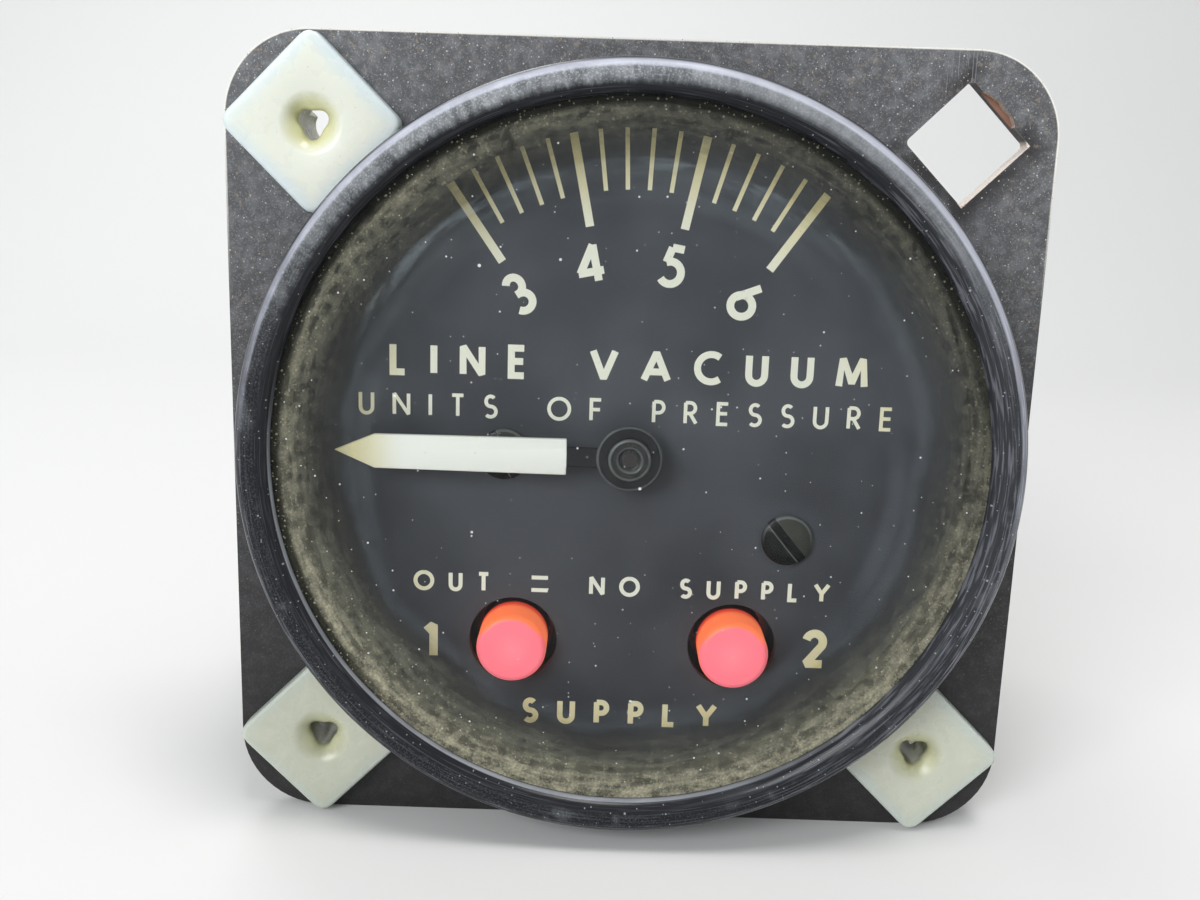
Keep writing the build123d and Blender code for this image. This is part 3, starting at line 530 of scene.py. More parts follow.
@dataclass(frozen=True)
class Enamel(Finish):
    """Glossy black ring: grey dust on its slope, scratches, a pale crown that is scuffed paint and painted
    highlight, and a painted highlight on the inner edge.
    """

    name: str = "black_enamel"
    base: Colour = (0.009, 0.010, 0.013)
    dust: Colour = (0.38, 0.40, 0.42)
    scuff: Colour = (0.13, 0.135, 0.155)
    # Colour of the painted highlight on the lip's inner edge.
    rim: Colour = (0.52, 0.55, 0.60)
    rubbed_highlight: Colour = (0.62, 0.64, 0.74)
    slope_inner: Point = (26.75, 27.45)
    slope_outer: Point = (28.3, 27.9)
    slope_depth: Point = (-3.7, -4.2)
    # Reach of the pale crown band, scuffed paint with a painted highlight.
    crown: Point = (27.95, 28.2)
    lip_highlight_reach: Point = (26.02, 26.10)

    def lay(self, paint: Painter) -> Socket:
        """Lay the nodes.

        Args:
            paint: what lays them.

        Returns:
            The shader.
        """
        x, y, z = paint.place()
        reach = distance(x, z)
        up = z / reach
        right = x / reach
        around = paint.noise(1.0, 3.0, where=(right * 9.0, up * 9.0, reach * 7.0))
        hairlines = paint.noise(1.0, 2.0, where=(right * 3.0 + 5.0, up * 3.0, reach * 16.0))
        rubs = paint.noise(1.0, 3.0, where=(right * 55.0, up * 55.0, reach * 0.9))
        grain = paint.noise(0.15, 4.0)
        cloud = paint.noise(2.6, 3.0, 11.0)
        even = right.rise(-0.1, 0.4)
        ragged = (reach + rubs * (0.4 - even * 0.3)).rise(*self.slope_inner)
        slope = ragged * reach.rise(*self.slope_outer) * y.rise(*self.slope_depth)
        settled = up.rise(0.15, 1.0)
        patchy = rubs.rise(0.36, 0.68) * 0.30 + cloud.rise(0.35, 0.65) * 0.22
        dusty = slope * settled * (patchy * (1.0 - even * 0.6) + 0.22 + even * 0.22)
        flecked = slope * grain.rise(0.50, 0.62) * (0.07 + settled * 0.30) * (1.0 - even * 0.6)
        dusty = (dusty + flecked + slope * cloud.rise(0.56, 0.68) * 0.10).held()
        scuffed = around.rise(0.48, 0.66) * (0.10 + right.rise(0.3, 0.9) * 0.60)
        scuffed = scuffed + right.rise(0.5, 1.0) * 0.12
        # Pale band on the crown: scuffed paint and a painted highlight, strongest at the top and on the right
        # side.
        crown = reach.band(*self.crown, 0.22) * y.rise(-3.6, -4.1)
        flank_highlight = right.rise(0.6, 0.98) * up.rise(-0.5, 0.1) * 0.22
        wear_and_highlight = around.rise(0.45, 0.68) * 0.12 + up.rise(-0.15, 0.95) * (0.35 + cloud * 0.5) + flank_highlight
        # Pale line on the lip's inner edge along the bottom and the left: a painted highlight.
        rim = reach.band(*self.lip_highlight_reach, 0.05) * y.band(-4.2, -3.7, 0.05)
        rim = rim * up.rise(0.35, -0.2) * right.rise(0.95, -0.1)
        flecks = paint.specks(0.5, 0.06, 0.22, 51.0) + paint.specks(1.6, 0.10, 0.16, 57.0)
        colour = paint.layers(
            self.base,
            (scuffed, self.scuff),
            (hairlines.rise(0.60, 0.66) * 0.10, self.dust),
            (dusty, self.dust),
            ((crown * wear_and_highlight).held(), self.rubbed_highlight),
            (rim * (0.22 + around * 0.5), self.rim),
            ((flecks * y.rise(-3.9, -4.2) * 0.6).held(), self.dust),
        )
        return paint.shader(
            "Principled",
            Base_Color=colour,
            Roughness=(0.13 + around * 0.12 + dusty * 0.5 + grain * 0.04).held(),
            Specular_IOR_Level=0.2,
            Normal=paint.bump(around * 0.5 + grain * 0.5, 0.006),
        )


@dataclass(frozen=True)
class DustyGlass(Finish):
    """Clear cover glass with grime round its edge, painted light and a painted lip shadow on the grime, pale rings
    that paint a reflection of the dial's edge, and white specks.
    """

    name: str = "cover_glass"
    shade: Colour = (0.036, 0.037, 0.032)
    olive: Colour = (0.150, 0.152, 0.118)
    # Near black, for dark mottles in the grime and for the painted shadow of the lip.
    night: Colour = (0.006, 0.007, 0.006)
    tan: Colour = (0.44, 0.41, 0.29)
    haze_and_reflection: Colour = (0.42, 0.50, 0.54)
    speck: Colour = (0.86, 0.86, 0.84)
    clear: Colour = (0.97, 0.98, 0.98)
    grime_reach: Point = (19.4, 25.6)
    crust_reach: Point = (22.6, 25.9)
    lip_shadow_reach: Point = (25.3, 25.9)
    inner_reflection_reach: Point = (18.9, 19.4)
    outer_reflection_reach: Point = (21.0, 21.3)
    shine_index: float = 1.22

    def lay(self, paint: Painter) -> Socket:
        """Lay the nodes.

        Args:
            paint: what lays them.

        Returns:
            The shader.
        """
        x, y, z = paint.place()
        reach = distance(x, z)
        up = z / reach.at_least(0.01)
        across = x / reach.at_least(0.01)
        front = y.rise(PLACES.glass_front + 0.2, PLACES.glass_front + 0.05)
        grain = paint.noise(0.2, 4.0)
        clumps = paint.noise(0.9, 4.0, 5.0)
        cloud = paint.noise(5.0, 3.0, 9.0)
        streaks = paint.noise(1.0, 3.0, where=(across * 7.0, up * 7.0, reach * 1.7))
        low = up.rise(0.25, -0.9)
        left = across.rise(0.4, -0.9)
        edge = reach + (cloud - 0.5) * 3.0 + low * 1.0 + left * 0.5 - 0.3
        band = edge.rise(*self.grime_reach)
        crust = (reach + (clumps - 0.5) * 0.9).rise(*self.crust_reach)
        thick = 0.38 + streaks.rise(0.35, 0.7) * 0.34 + clumps.rise(0.4, 0.65) * 0.18
        grime = band * thick + crust * 0.22
        # Grime painted brighter towards the bottom and the left: painted light where light falls on it.
        lit = 0.16 + low * 0.84 + left * 0.30
        pale = grain.rise(0.42, 0.66) * 0.50 + streaks.rise(0.38, 0.70) * 0.25
        pale = (pale + clumps.rise(0.42, 0.66) * 0.2 + 0.1) * crust
        # Dark mottles in the grime, more of them towards the top.
        murk = clumps.rise(0.56, 0.40) * streaks.rise(0.60, 0.40) * band
        murk = murk * (0.25 + up.rise(-0.5, 0.4) * 0.35)
        # Dark band along the glass's edge at the top and the left: a painted shadow of the bezel's lip, which also
        # makes the glass opaque there.
        shadowed_side = up.rise(-0.05, 0.55).at_least(across.rise(-0.45, -0.85))
        lip_shadow = (reach + streaks * 0.5).rise(*self.lip_shadow_reach) * shadowed_side
        # Pale teal rings at about 19 and 21 mm, the outer one only towards the top: a painted reflection of the
        # dial's edge.
        inner_reflection_ring = (reach - 0.5 * cloud).band(*self.inner_reflection_reach, 0.8)
        inner_reflection_ring = inner_reflection_ring * paint.noise(9.0, 1.0, 31.0).rise(0.35, 0.65)
        outer_reflection_ring = (reach - 0.4 * cloud).band(*self.outer_reflection_reach, 0.5) * up.rise(0.2, 0.8)
        outer_reflection_ring = outer_reflection_ring * streaks.rise(0.3, 0.6)
        veil = inner_reflection_ring * 0.048 + outer_reflection_ring * 0.08 + cloud * 0.01
        grit = paint.specks(0.5, 0.10, 0.4, 37.0) + paint.specks(0.33, 0.07, 0.3, 43.0)
        grit = grit * edge.rise(20.8, 24.2)
        dots = paint.specks(1.9, 0.085, 0.20) + paint.specks(0.9, 0.05, 0.10, 13.0)
        dots = ((dots + paint.specks(6.0, 0.14, 0.20, 29.0)) * 0.8).held()
        colour = paint.layers(
            self.shade,
            ((band * (0.10 + lit)).held(), self.olive),
            ((pale * lit).held(), self.tan),
            (murk, self.night),
            (lip_shadow * 0.92, self.night),
            (band.rise(0.30, 0.02).at_least(outer_reflection_ring * 0.7), self.haze_and_reflection),
            ((grit * (0.25 + lit * 0.35)).held(), self.tan),
            (dots, self.speck),
        )
        cover = grime.held().at_least(veil.held()).at_least(lip_shadow) * 0.93
        cover = cover.at_least(grit.held() * 0.45).at_least(dots) * front
        dirt = paint.shader("Principled", Base_Color=colour, Roughness=0.85, Specular_IOR_Level=0.1)
        clear = paint.shader("Transparent", Color=self.clear)
        gloss = paint.shader("Glossy", Color=(1.0, 1.0, 1.0), Roughness=0.03)
        fresnel = paint.node("ShaderNodeFresnel", None, {"IOR": self.shine_index})
        shine = Value(paint, fresnel.outputs[0])
        return paint.blend(cover, paint.blend(shine * front, clear, gloss), dirt)


@dataclass(frozen=True)
class DialPaint(Finish):
    """Matt blue-black dial with a fine grain, a little dust, painted light towards the top and a painted sheen by
    the hub.
    """

    name: str = "dial_black"
    base: Colour = (0.043, 0.045, 0.051)
    light: Colour = (0.090, 0.094, 0.105)
    dust: Colour = (0.32, 0.33, 0.34)

    def lay(self, paint: Painter) -> Socket:
        """Lay the nodes.

        Args:
            paint: what lays them.

        Returns:
            The shader.
        """
        x, _, z = paint.place()
        grain = paint.noise(0.22, 3.0)
        cloud = paint.noise(8.0, 2.0, 4.0)
        # Lighter towards the top and in a patch round the hub's upper side: painted light and a painted sheen; the
        # cloud adds random tone.
        hub_sheen = distance(x, z).rise(10.0, 3.5) * z.rise(-4.0, 1.0) * 0.45
        lit = cloud.rise(0.3, 0.7) * 0.6 + z.rise(-9.0, 13.0) * 0.4 + hub_sheen
        specks = paint.specks(2.6, 0.06, 0.15, 3.0) * 0.7
        colour = paint.layers(self.base, (lit.held(), self.light), (specks, self.dust))
        rough = grain * 0.1 + 0.6
        return paint.shader(
            "Principled", Base_Color=colour, Roughness=rough, Specular_IOR_Level=0.15
        )


@dataclass(frozen=True)
class PrintInk(Finish):
    """Cream print, yellowed towards the edge of the dial."""

    name: str = "cream_print"
    fresh: Colour = (0.90, 0.885, 0.74)
    aged: Colour = (0.88, 0.74, 0.31)
    dirt: Colour = (0.25, 0.24, 0.2)
    aged_reach: Point = (15.5, 24.0)

    def lay(self, paint: Painter) -> Socket:
        """Lay the nodes.

        Args:
            paint: what lays them.

        Returns:
            The shader.
        """
        x, _, z = paint.place()
        grain = paint.noise(0.15, 3.0)
        patches = paint.noise(1.3, 2.0, 8.0)
        old = distance(x, z).rise(*self.aged_reach) * (0.55 + patches * 0.5)
        dirty = grain.rise(0.66, 0.8) * 0.35
        colour = paint.layers(self.fresh, (old, self.aged), (dirty, self.dirt))
        rough = 0.5 + grain * 0.2
        return paint.shader(
            "Principled", Base_Color=colour, Roughness=rough, Specular_IOR_Level=0.3
        )


@dataclass(frozen=True)
class PointerPaint(Finish):
    """Cream blade with a black neck and eye; a pale ring on the eye's edge is wear and painted highlight."""

    name: str = "pointer_cream"
    cream: Colour = (0.98, 0.975, 0.895)
    stain: Colour = (0.84, 0.74, 0.38)
    black: Colour = (0.006, 0.007, 0.008)
    rubbed_highlight: Colour = (0.28, 0.29, 0.30)
    blade_start: float = -4.7
    tip: float = -22.0

    def lay(self, paint: Painter) -> Socket:
        """Lay the nodes.

        Args:
            paint: what lays them.

        Returns:
            The shader.
        """
        x, _, z = paint.place()
        grain = paint.noise(0.14, 3.0)
        ragged = x + (paint.noise(0.4, 2.0, 2.0) - 0.5) * 0.12
        blade = ragged.rise(self.blade_start + 0.03, self.blade_start - 0.03)
        near_tip = x.rise(self.tip + 5.5, self.tip + 1.2)
        rim = abs(z).rise(0.9, 1.3) * paint.noise(0.9, 3.0, 5.0).rise(0.5, 0.7)
        stained = (near_tip * 0.95 + rim * 0.3).held() * (0.7 + grain * 0.5)
        cream = paint.mix(stained, self.cream, self.stain)
        # Pale ring round the eye's edge: wear and a painted highlight of the rim.
        eye_rim_highlight = distance(x, z).band(2.34, 2.44, 0.07) * (0.15 + grain * 0.4)
        return paint.shader(
            "Principled",
            Base_Color=paint.layers(self.black, (eye_rim_highlight, self.rubbed_highlight), (blade, cream)),
            Roughness=0.20 + blade * 0.36 + grain * 0.06,
            Specular_IOR_Level=0.26,
            Normal=paint.bump(grain * blade, 0.004),
        )


@dataclass(frozen=True)
class BlackenedSteel(Finish):
    """Blackened steel; a slotted head has a slot in painted shade, one half with a dusty painted sheen and pale
    edges that are wear and painted highlight.
    """

    name: str = "blackened_steel"
    base: Colour = (0.008, 0.0085, 0.008)
    dusty: Colour = (0.060, 0.064, 0.050)
    rubbed_highlight: Colour = (0.26, 0.27, 0.27)
    # Near black for painted shade in recesses.
    recess_shade: Colour = (0.002, 0.002, 0.002)
    gloss: float = 0.42
    centre: Point | None = None
    slot_angle: float = 0.0
    slot_half: float = 0.35
    head: float = 1.95
    highlight_rings: tuple[Point, ...] = ()

    def lay(self, paint: Painter) -> Socket:
        """Lay the nodes.

        Args:
            paint: what lays them.

        Returns:
            The shader.
        """
        x, _, z = paint.place()
        grain = paint.noise(0.12, 3.0)
        patches = paint.noise(0.9, 3.0, 6.0)
        colour = paint.mix(patches.rise(0.5, 0.8) * 0.25, self.base, self.dusty)
        # Pale rings on the hub's rounded edges: wear and painted highlights.
        for radius, share in self.highlight_rings:
            ring = distance(x, z).band(radius - 0.05, radius + 0.05, 0.09)
            colour = paint.mix(ring * (0.4 + patches * 0.8) * share, colour, self.rubbed_highlight)
        if self.centre is not None:
            colour = self._slot(paint, colour, patches)
        return paint.shader(
            "Principled",
            Base_Color=colour,
            Roughness=0.16 + patches * 0.10 + grain * 0.04,
            Specular_IOR_Level=self.gloss,
        )

    def _slot(self, paint: Painter, colour: Socket, patches: Value) -> Socket:
        """Lay the slot's painted shade, the half with its painted sheen and the painted highlights on the edges of
        a screw's head.

        Args:
            paint: what lays the nodes.
            colour: colour of the steel.
            patches: uneven wear from 0 to 1.

        Returns:
            The colour of the head.
        """
        x, _, z = paint.place()
        right = x - self.centre[0]
        above = z - self.centre[1]
        turn = math.radians(self.slot_angle)
        across = right * -math.sin(turn) + above * math.cos(turn)
        # One half of the head gets the dusty colour: a patchy painted sheen where light falls.
        half = across.rise(self.slot_half, self.slot_half + 0.1)
        # Pale lines along the slot's edges, stronger on one side, and on the head's upper rim: wear and painted
        # highlights.
        lip_highlights = abs(abs(across) - self.slot_half - 0.03).rise(0.06, 0.01)
        reach = distance(right, above)
        lip_highlights = lip_highlights * (across.rise(0.0, -0.1) * 0.5 + 0.15)
        lip_highlights = lip_highlights * reach.rise(self.head - 0.02, self.head - 0.2)
        rim = reach.band(self.head - 0.13, self.head, 0.1) * above.rise(-0.6, 1.7)
        wear_and_highlight = lip_highlights.at_least(rim * 0.5) * (0.6 + patches * 0.8)
        # The slot is painted near black: painted shade in the recess.
        slot = abs(across).rise(self.slot_half, self.slot_half - 0.04)
        return paint.layers(
            colour,
            (half * (0.55 + patches * 0.5), self.dusty),
            (wear_and_highlight.held(), self.rubbed_highlight),
            (slot * 0.9, self.recess_shade),
        )


@dataclass(frozen=True)
class FluorescentPlastic(Finish):
    """Fluorescent red moulding: orange sides with a painted highlight on the top rim, a pinker face, a red band of
    painted glow and painted shade towards the back; emission paints a glow.
    """

    name: str = "signal_red"
    side: Colour = (0.98, 0.11, 0.022)
    face: Colour = (0.92, 0.10, 0.15)
    pale: Colour = (0.96, 0.24, 0.27)
    side_glow: Colour = (1.0, 0.235, 0.095)
    face_glow: Colour = (0.55, 0.125, 0.155)
    # Red of the painted glow band, then its emission.
    halo: Colour = (0.85, 0.030, 0.020)
    halo_glow: Colour = (0.55, 0.015, 0.012)
    # Near black for the painted shade further back.
    recess_shade: Colour = (0.05, 0.003, 0.003)
    shade_start: float = 2.5

    def lay(self, paint: Painter) -> Socket:
        """Lay the nodes.

        Args:
            paint: what lays them.

        Returns:
            The shader.
        """
        x, y, z = paint.place()
        grain = paint.noise(0.18, 3.0)
        cloud = paint.noise(1.6, 2.0, 3.0)
        across = distance(abs(x) - PLACES.button_x, z - PLACES.button_z)
        # The top rim keeps the brighter orange of the sides: a painted highlight.
        top = (z - PLACES.button_z).rise(0.6, 1.8) * across.rise(2.25, 2.5)
        face = y.rise(PLACES.button_front + 0.5, PLACES.button_front + 0.1) * (1.0 - top)
        middle = 0.15 + cloud * 0.3 + across.rise(1.9, 0.2) * 0.35 + across.rise(0.3, 0.1) * 0.2
        # A saturated red band, then near black further back: a painted glow where the button enters its hole and
        # painted shade inside it.
        halo = y.rise(self.shade_start - 1.0, self.shade_start) * 0.8
        recess_shade = y.rise(self.shade_start, self.shade_start + 0.5)
        colour = paint.layers(
            self.side, (face, self.face), (face * middle, self.pale),
            (halo, self.halo), (recess_shade, self.recess_shade)
        )
        glow = paint.layers(
            self.side_glow, (face, self.face_glow), (halo, self.halo_glow), (recess_shade, (0.0, 0.0, 0.0))
        )
        # Emission makes the plastic glow without a lamp: a painted glow.
        return paint.shader(
            "Principled",
            Base_Color=colour,
            Roughness=0.38 + grain * 0.15,
            Emission_Color=glow,
            Emission_Strength=0.72,
            Normal=paint.bump(grain, 0.006),
        )


@dataclass(frozen=True)
class Nylon(Finish):
    """Milky nylon: bluish at its thin edges and yellow-green round the hole."""

    name: str = "natural_nylon"
    milk: Colour = (0.72, 0.74, 0.655)
    edge: Colour = (0.56, 0.66, 0.72)
    middle: Colour = (0.58, 0.57, 0.25)
    dark_tone: Colour = (0.36, 0.37, 0.27)
    half_side: float = 4.7625

    def lay(self, paint: Painter) -> Socket:
        """Lay the nodes.

        Args:
            paint: what lays them.

        Returns:
            The shader.
        """
        x, y, z = paint.place()
        across = abs(x) - PLACES.hole_half
        above = abs(z) - PLACES.hole_half
        along = abs((across - above) * DIAGONAL)
        outward = abs((across + above) * DIAGONAL)
        from_edge = self.half_side - along.at_least(outward)
        cloud = paint.noise(1.4, 3.0, 2.0)
        grain = paint.noise(0.2, 3.0)
        thin = (from_edge + cloud * 0.8).rise(1.9, 0.3)
        hole = (distance(across, above) + cloud * 0.5).rise(2.7, 1.4)
        behind = y.rise(PLACES.flange_front - 0.1, PLACES.flange_back)
        # The nuts towards the bottom, more so on the left, are darker, and so is the part behind the flange's
        # front.
        darker_below = z.rise(5.0, -5.0) * (0.38 + x.rise(5.0, -5.0) * 0.12 + cloud * 0.25)
        specks = paint.specks(1.1, 0.06, 0.25, 17.0)
        specks = specks * y.rise(PLACES.nut_front + 0.2, PLACES.nut_front + 0.1)
        colour = paint.layers(
            self.milk,
            (thin * 0.75, self.edge),
            (hole * 0.75, self.middle),
            ((behind * 0.2 + darker_below).held(), self.dark_tone),
            (specks * 0.5, self.dark_tone),
        )
        return paint.shader(
            "Principled",
            Base_Color=colour,
            Roughness=0.22 + cloud * 0.12,
            Subsurface_Weight=0.45,
            Subsurface_Radius=(1.0, 1.1, 0.9),
            Subsurface_Scale=0.0011,
            Normal=paint.bump(cloud * 0.7 + grain * 0.3, 0.02),
        )


@dataclass(frozen=True)
class Metal(Finish):
    """Turned, stamped or drawn metal with fine tool marks; in front of a given depth it can be painted dark as
    shade in the button holes, with painted red light beside the buttons.
    """

    name: str
    bright: Colour
    dull: Colour
    roughness: float
    mark: float = 0.12
    darkened_before: float | None = None
    black: Colour = (0.012, 0.006, 0.006)
    red_light: Colour = (0.35, 0.012, 0.010)

    def lay(self, paint: Painter) -> Socket:
        """Lay the nodes.

        Args:
            paint: what lays them.

        Returns:
            The shader.
        """
        x, y, z = paint.place()
        marks = paint.noise(1.0, 2.0, where=(x * 0.8, y / self.mark, z * 0.8))
        tarnish = paint.noise(1.8, 3.0, 5.0)
        dulled = (tarnish.rise(0.35, 0.75) * 0.7 + marks * 0.2).held()
        colour = paint.mix(dulled, self.bright, self.dull)
        metal: Value | float = 1.0
        # In front of the given depth the metal is painted near black, painted shade in the holes round the
        # buttons; next to a button it takes a painted red light.
        if self.darkened_before is not None:
            front = y.rise(self.darkened_before + 0.1, self.darkened_before)
            beside = distance(abs(x) - PLACES.button_x, z - PLACES.button_z).rise(3.3, 2.75)
            colour = paint.mix(front, colour, paint.mix(beside, self.black, self.red_light))
            metal = 1.0 - front
        return paint.shader(
            "Principled",
            Base_Color=colour,
            Metallic=metal,
            Roughness=(tarnish * 0.2 + marks * 0.12 + self.roughness).held(),
            Normal=paint.bump(marks, 0.006),
        )


@dataclass(frozen=True)
class Rubber(Finish):
    """Matt rubber with a faint bloom."""

    name: str
    base: Colour
    bloom: Colour = (0.11, 0.11, 0.105)

    def lay(self, paint: Painter) -> Socket:
        """Lay the nodes.

        Args:
            paint: what lays them.

        Returns:
            The shader.
        """
        grain = paint.noise(0.3, 3.0)
        patches = paint.noise(3.0, 2.0, 2.0)
        colour = paint.mix(patches.rise(0.4, 0.8) * 0.5 * grain, self.base, self.bloom)
        dull = 0.7 + grain * 0.2
        bumps = paint.bump(grain, 0.02)
        return paint.shader("Principled", Base_Color=colour, Roughness=dull, Normal=bumps)


@dataclass(frozen=True)
class StudioPaper(Finish):
    """Plain pale floor and backdrop."""

    name: str = "studio_paper"
    tone: Colour = (0.80, 0.80, 0.79)
    shade: Colour = (0.74, 0.74, 0.735)

    def lay(self, paint: Painter) -> Socket:
        """Lay the nodes.

        Args:
            paint: what lays them.

        Returns:
            The shader.
        """
        colour = paint.mix(paint.noise(60.0, 2.0) * 0.15, self.tone, self.shade)
        return paint.shader("Principled", Base_Color=colour, Roughness=0.9)


# Meshes


@contextmanager
def editing(mesh: Mesh) -> Iterator[bmesh.types.BMesh]:
    """Open a mesh for editing and write it back.

    Args:
        mesh: the mesh.

    Yields:
        Its editable form.
    """
    made = bmesh.new()
    made.from_mesh(mesh)
    yield made
    made.to_mesh(mesh)
    made.free()


def dress(mesh: Mesh, material: Material, sharp: float, smooth: bool = True) -> Mesh:
    """Give a mesh its finish and its smoothing.

    Args:
        mesh: the mesh.
        material: its finish.
        sharp: edges sharper than this many degrees stay sharp.
        smooth: whether every face is made smooth.

    Returns:
        The mesh.
    """
    mesh.materials.clear()
    mesh.materials.append(material)
    if smooth:
        mesh.polygons.foreach_set("use_smooth", [True] * len(mesh.polygons))
    mesh.set_sharp_from_angle(angle=math.radians(sharp))
    return mesh


def stand(name: str, data: Data) -> Item:
    """Put a mesh, a lamp or other data into the scene.

    Args:
        name: name of the object.
        data: what it holds.

    Returns:
        The object.
    """
    made = bpy.data.objects.new(name, data)
    bpy.context.scene.collection.objects.link(made)
    return made


def evaluated(item: Item) -> Mesh:
    """Make a plain mesh of an object and its modifiers."""
    graph = bpy.context.evaluated_depsgraph_get()
    return bpy.data.meshes.new_from_object(item.evaluated_get(graph))


@dataclass
class Shape:
    """Vertices and faces of one mesh while it is being made, in millimetres."""

    vertices: list[Point3] = field(default_factory=list)
    faces: list[tuple[int, ...]] = field(default_factory=list)

    def loft(self, rings: Sequence[Sequence[Point3]], closed: bool) -> None:
        """Join rings of equal length by quads.

        Args:
            rings: rings of points, in order along the surface.
            closed: whether the last ring joins the first one.
        """
        start = len(self.vertices)
        count = len(rings[0])
        for ring in rings:
            self.vertices.extend(ring)
        steps = len(rings) if closed else len(rings) - 1
        for step in range(steps):
            here = start + step * count
            there = start + (step + 1) % len(rings) * count
            for spot in range(count):
                after = (spot + 1) % count
                self.faces.append((here + spot, here + after, there + after, there + spot))

    def ribbon(
        self, left: Sequence[Point3], right: Sequence[Point3], front: float, back: float
    ) -> None:
        """Add a flat stroke between two rails in X and Z, given thickness along Y.

        Args:
            left: one rail.
            right: the other rail, as long as the first.
            front: depth of the front face.
            back: depth of the back face.
        """
        start = len(self.vertices)
        count = len(left)
        for rail, depth in ((left, front), (right, front), (right, back), (left, back)):
            self.vertices.extend((x, depth, z) for x, z in rail)
        for side in range(4):
            here = start + side * count
            there = start + (side + 1) % 4 * count
            for spot in range(count - 1):
                self.faces.append((here + spot, here + spot + 1, there + spot + 1, there + spot))
        self.faces.append(tuple(start + side * count for side in range(4)))
        self.faces.append(tuple(start + side * count + count - 1 for side in (3, 2, 1, 0)))

    def wedge(self, corners: Sequence[Point3]) -> None:
        """Add a closed prism.

        Args:
            corners: the three of one end and then the three of the other.
        """
        start = len(self.vertices)
        self.vertices.extend(corners)
        for face in ((0, 1, 2), (5, 4, 3), (0, 3, 4, 1), (1, 4, 5, 2), (2, 5, 3, 0)):
            self.faces.append(tuple(start + spot for spot in face))

    def piece(self, name: str, material: Material, sharp: float) -> Item:
        """Make the object, with its faces pointing outwards.

        Args:
            name: name of the piece.
            material: its finish.
            sharp: edges sharper than this many degrees stay sharp.

        Returns:
            The object.
        """
        mesh = bpy.data.meshes.new(name)
        mesh.from_pydata([tuple(c * MM for c in v) for v in self.vertices], [], self.faces)
        with editing(mesh) as made:
            bmesh.ops.dissolve_degenerate(made, dist=SAME_WHEN_MADE, edges=made.edges)
            bmesh.ops.recalc_face_normals(made, faces=made.faces)
        return stand(name, dress(mesh, material, sharp))


class NodeShape(Tree):
    """A geometry tree with named sizes, and the piece that it makes."""

    def __init__(self, name: str) -> None:
        """Start an empty geometry tree.

        Args:
            name: name of the tree.
        """
        super().__init__(bpy.data.node_groups.new(name, "GeometryNodeTree"))
        for way in ("INPUT", "OUTPUT"):
            self.tree.interface.new_socket("Geometry", in_out=way, socket_type="NodeSocketGeometry")
        self.source = self.node("NodeGroupInput")
        self.sizes: dict[str, float | int] = {}

    def size(self, name: str, value: float | int) -> Socket:
        """Add a named size to the tree's inputs.

        Args:
            name: name of the size.
            value: what it is set to.

        Returns:
            The socket that carries it inside the tree.
        """
        kind = "NodeSocketInt" if isinstance(value, int) else "NodeSocketFloat"
        self.tree.interface.new_socket(name, in_out="INPUT", socket_type=kind)
        self.sizes[name] = value
        return self.source.outputs[name]

    def maths(self, operation: str, first: object, second: object) -> Socket:
        """Add a Math node over two numbers or sockets."""
        made = self.node("ShaderNodeMath", {"operation": operation}, {0: first, 1: second})
        return made.outputs[0]

    def piece(
        self, name: str, geometry: Socket, base: Data, material: Material, sharp: float
    ) -> Item:
        """End the tree in Realize Instances and Set Material and keep its result as a plain mesh.

        Args:
            name: name of the piece.
            geometry: what the tree has made.
            base: the mesh or curve that the tree starts from.
            material: its finish.
            sharp: edges sharper than this many degrees stay sharp.

        Returns:
            The finished piece, with no modifier.
        """
        real = self.node("GeometryNodeRealizeInstances", None, {"Geometry": geometry})
        sockets = {"Geometry": real.outputs[0], "Material": material}
        dressed = self.node("GeometryNodeSetMaterial", None, sockets)
        self.node("NodeGroupOutput", None, {0: dressed.outputs[0]})
        holder = stand(name + "_base", base)
        modifier = holder.modifiers.new("shape", "NODES")
        modifier.node_group = self.tree
        for item in self.tree.interface.items_tree:
            if item.in_out == "INPUT" and item.name in self.sizes:
                modifier[item.identifier] = self.sizes[item.name]
        mesh = evaluated(holder)
        bpy.data.objects.remove(holder)
        with editing(mesh) as made:
            bmesh.ops.remove_doubles(made, verts=made.verts, dist=SAME_WHEN_MADE)
            bmesh.ops.recalc_face_normals(made, faces=made.faces)
        mesh.name = name
        return stand(name, dress(mesh, material, sharp))


def settle(piece: Item, body: Body, slot: str, *nodes: str) -> Item:
    """Put a piece on its body and say which nodes it stands for.

    Args:
        piece: the finished piece.
        body: the body that it rides on.
        slot: the record's material slot; not used.
        nodes: nodes of the frame that it replaces.

    Returns:
        The piece.
    """
    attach(piece, body.value)
    if nodes:
        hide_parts(*nodes)
    replaced = ", ".join(nodes) or "nothing"
    LOG.info("piece %s rides on %s and replaces %s", piece.name, body.value, replaced)
    return piece


def arc(centre: Point, radius: float, start: float, end: float, steps: int) -> list[Point]:
    """Points along an arc.

    Args:
        centre: its centre.
        radius: its radius.
        start: first angle in degrees.
        end: last angle in degrees.
        steps: number of runs.

    Returns:
        The points, both ends among them.
    """
    angles = [math.radians(start + (end - start) * step / steps) for step in range(steps + 1)]
    return [(centre[0] + radius * math.cos(a), centre[1] + radius * math.sin(a)) for a in angles]


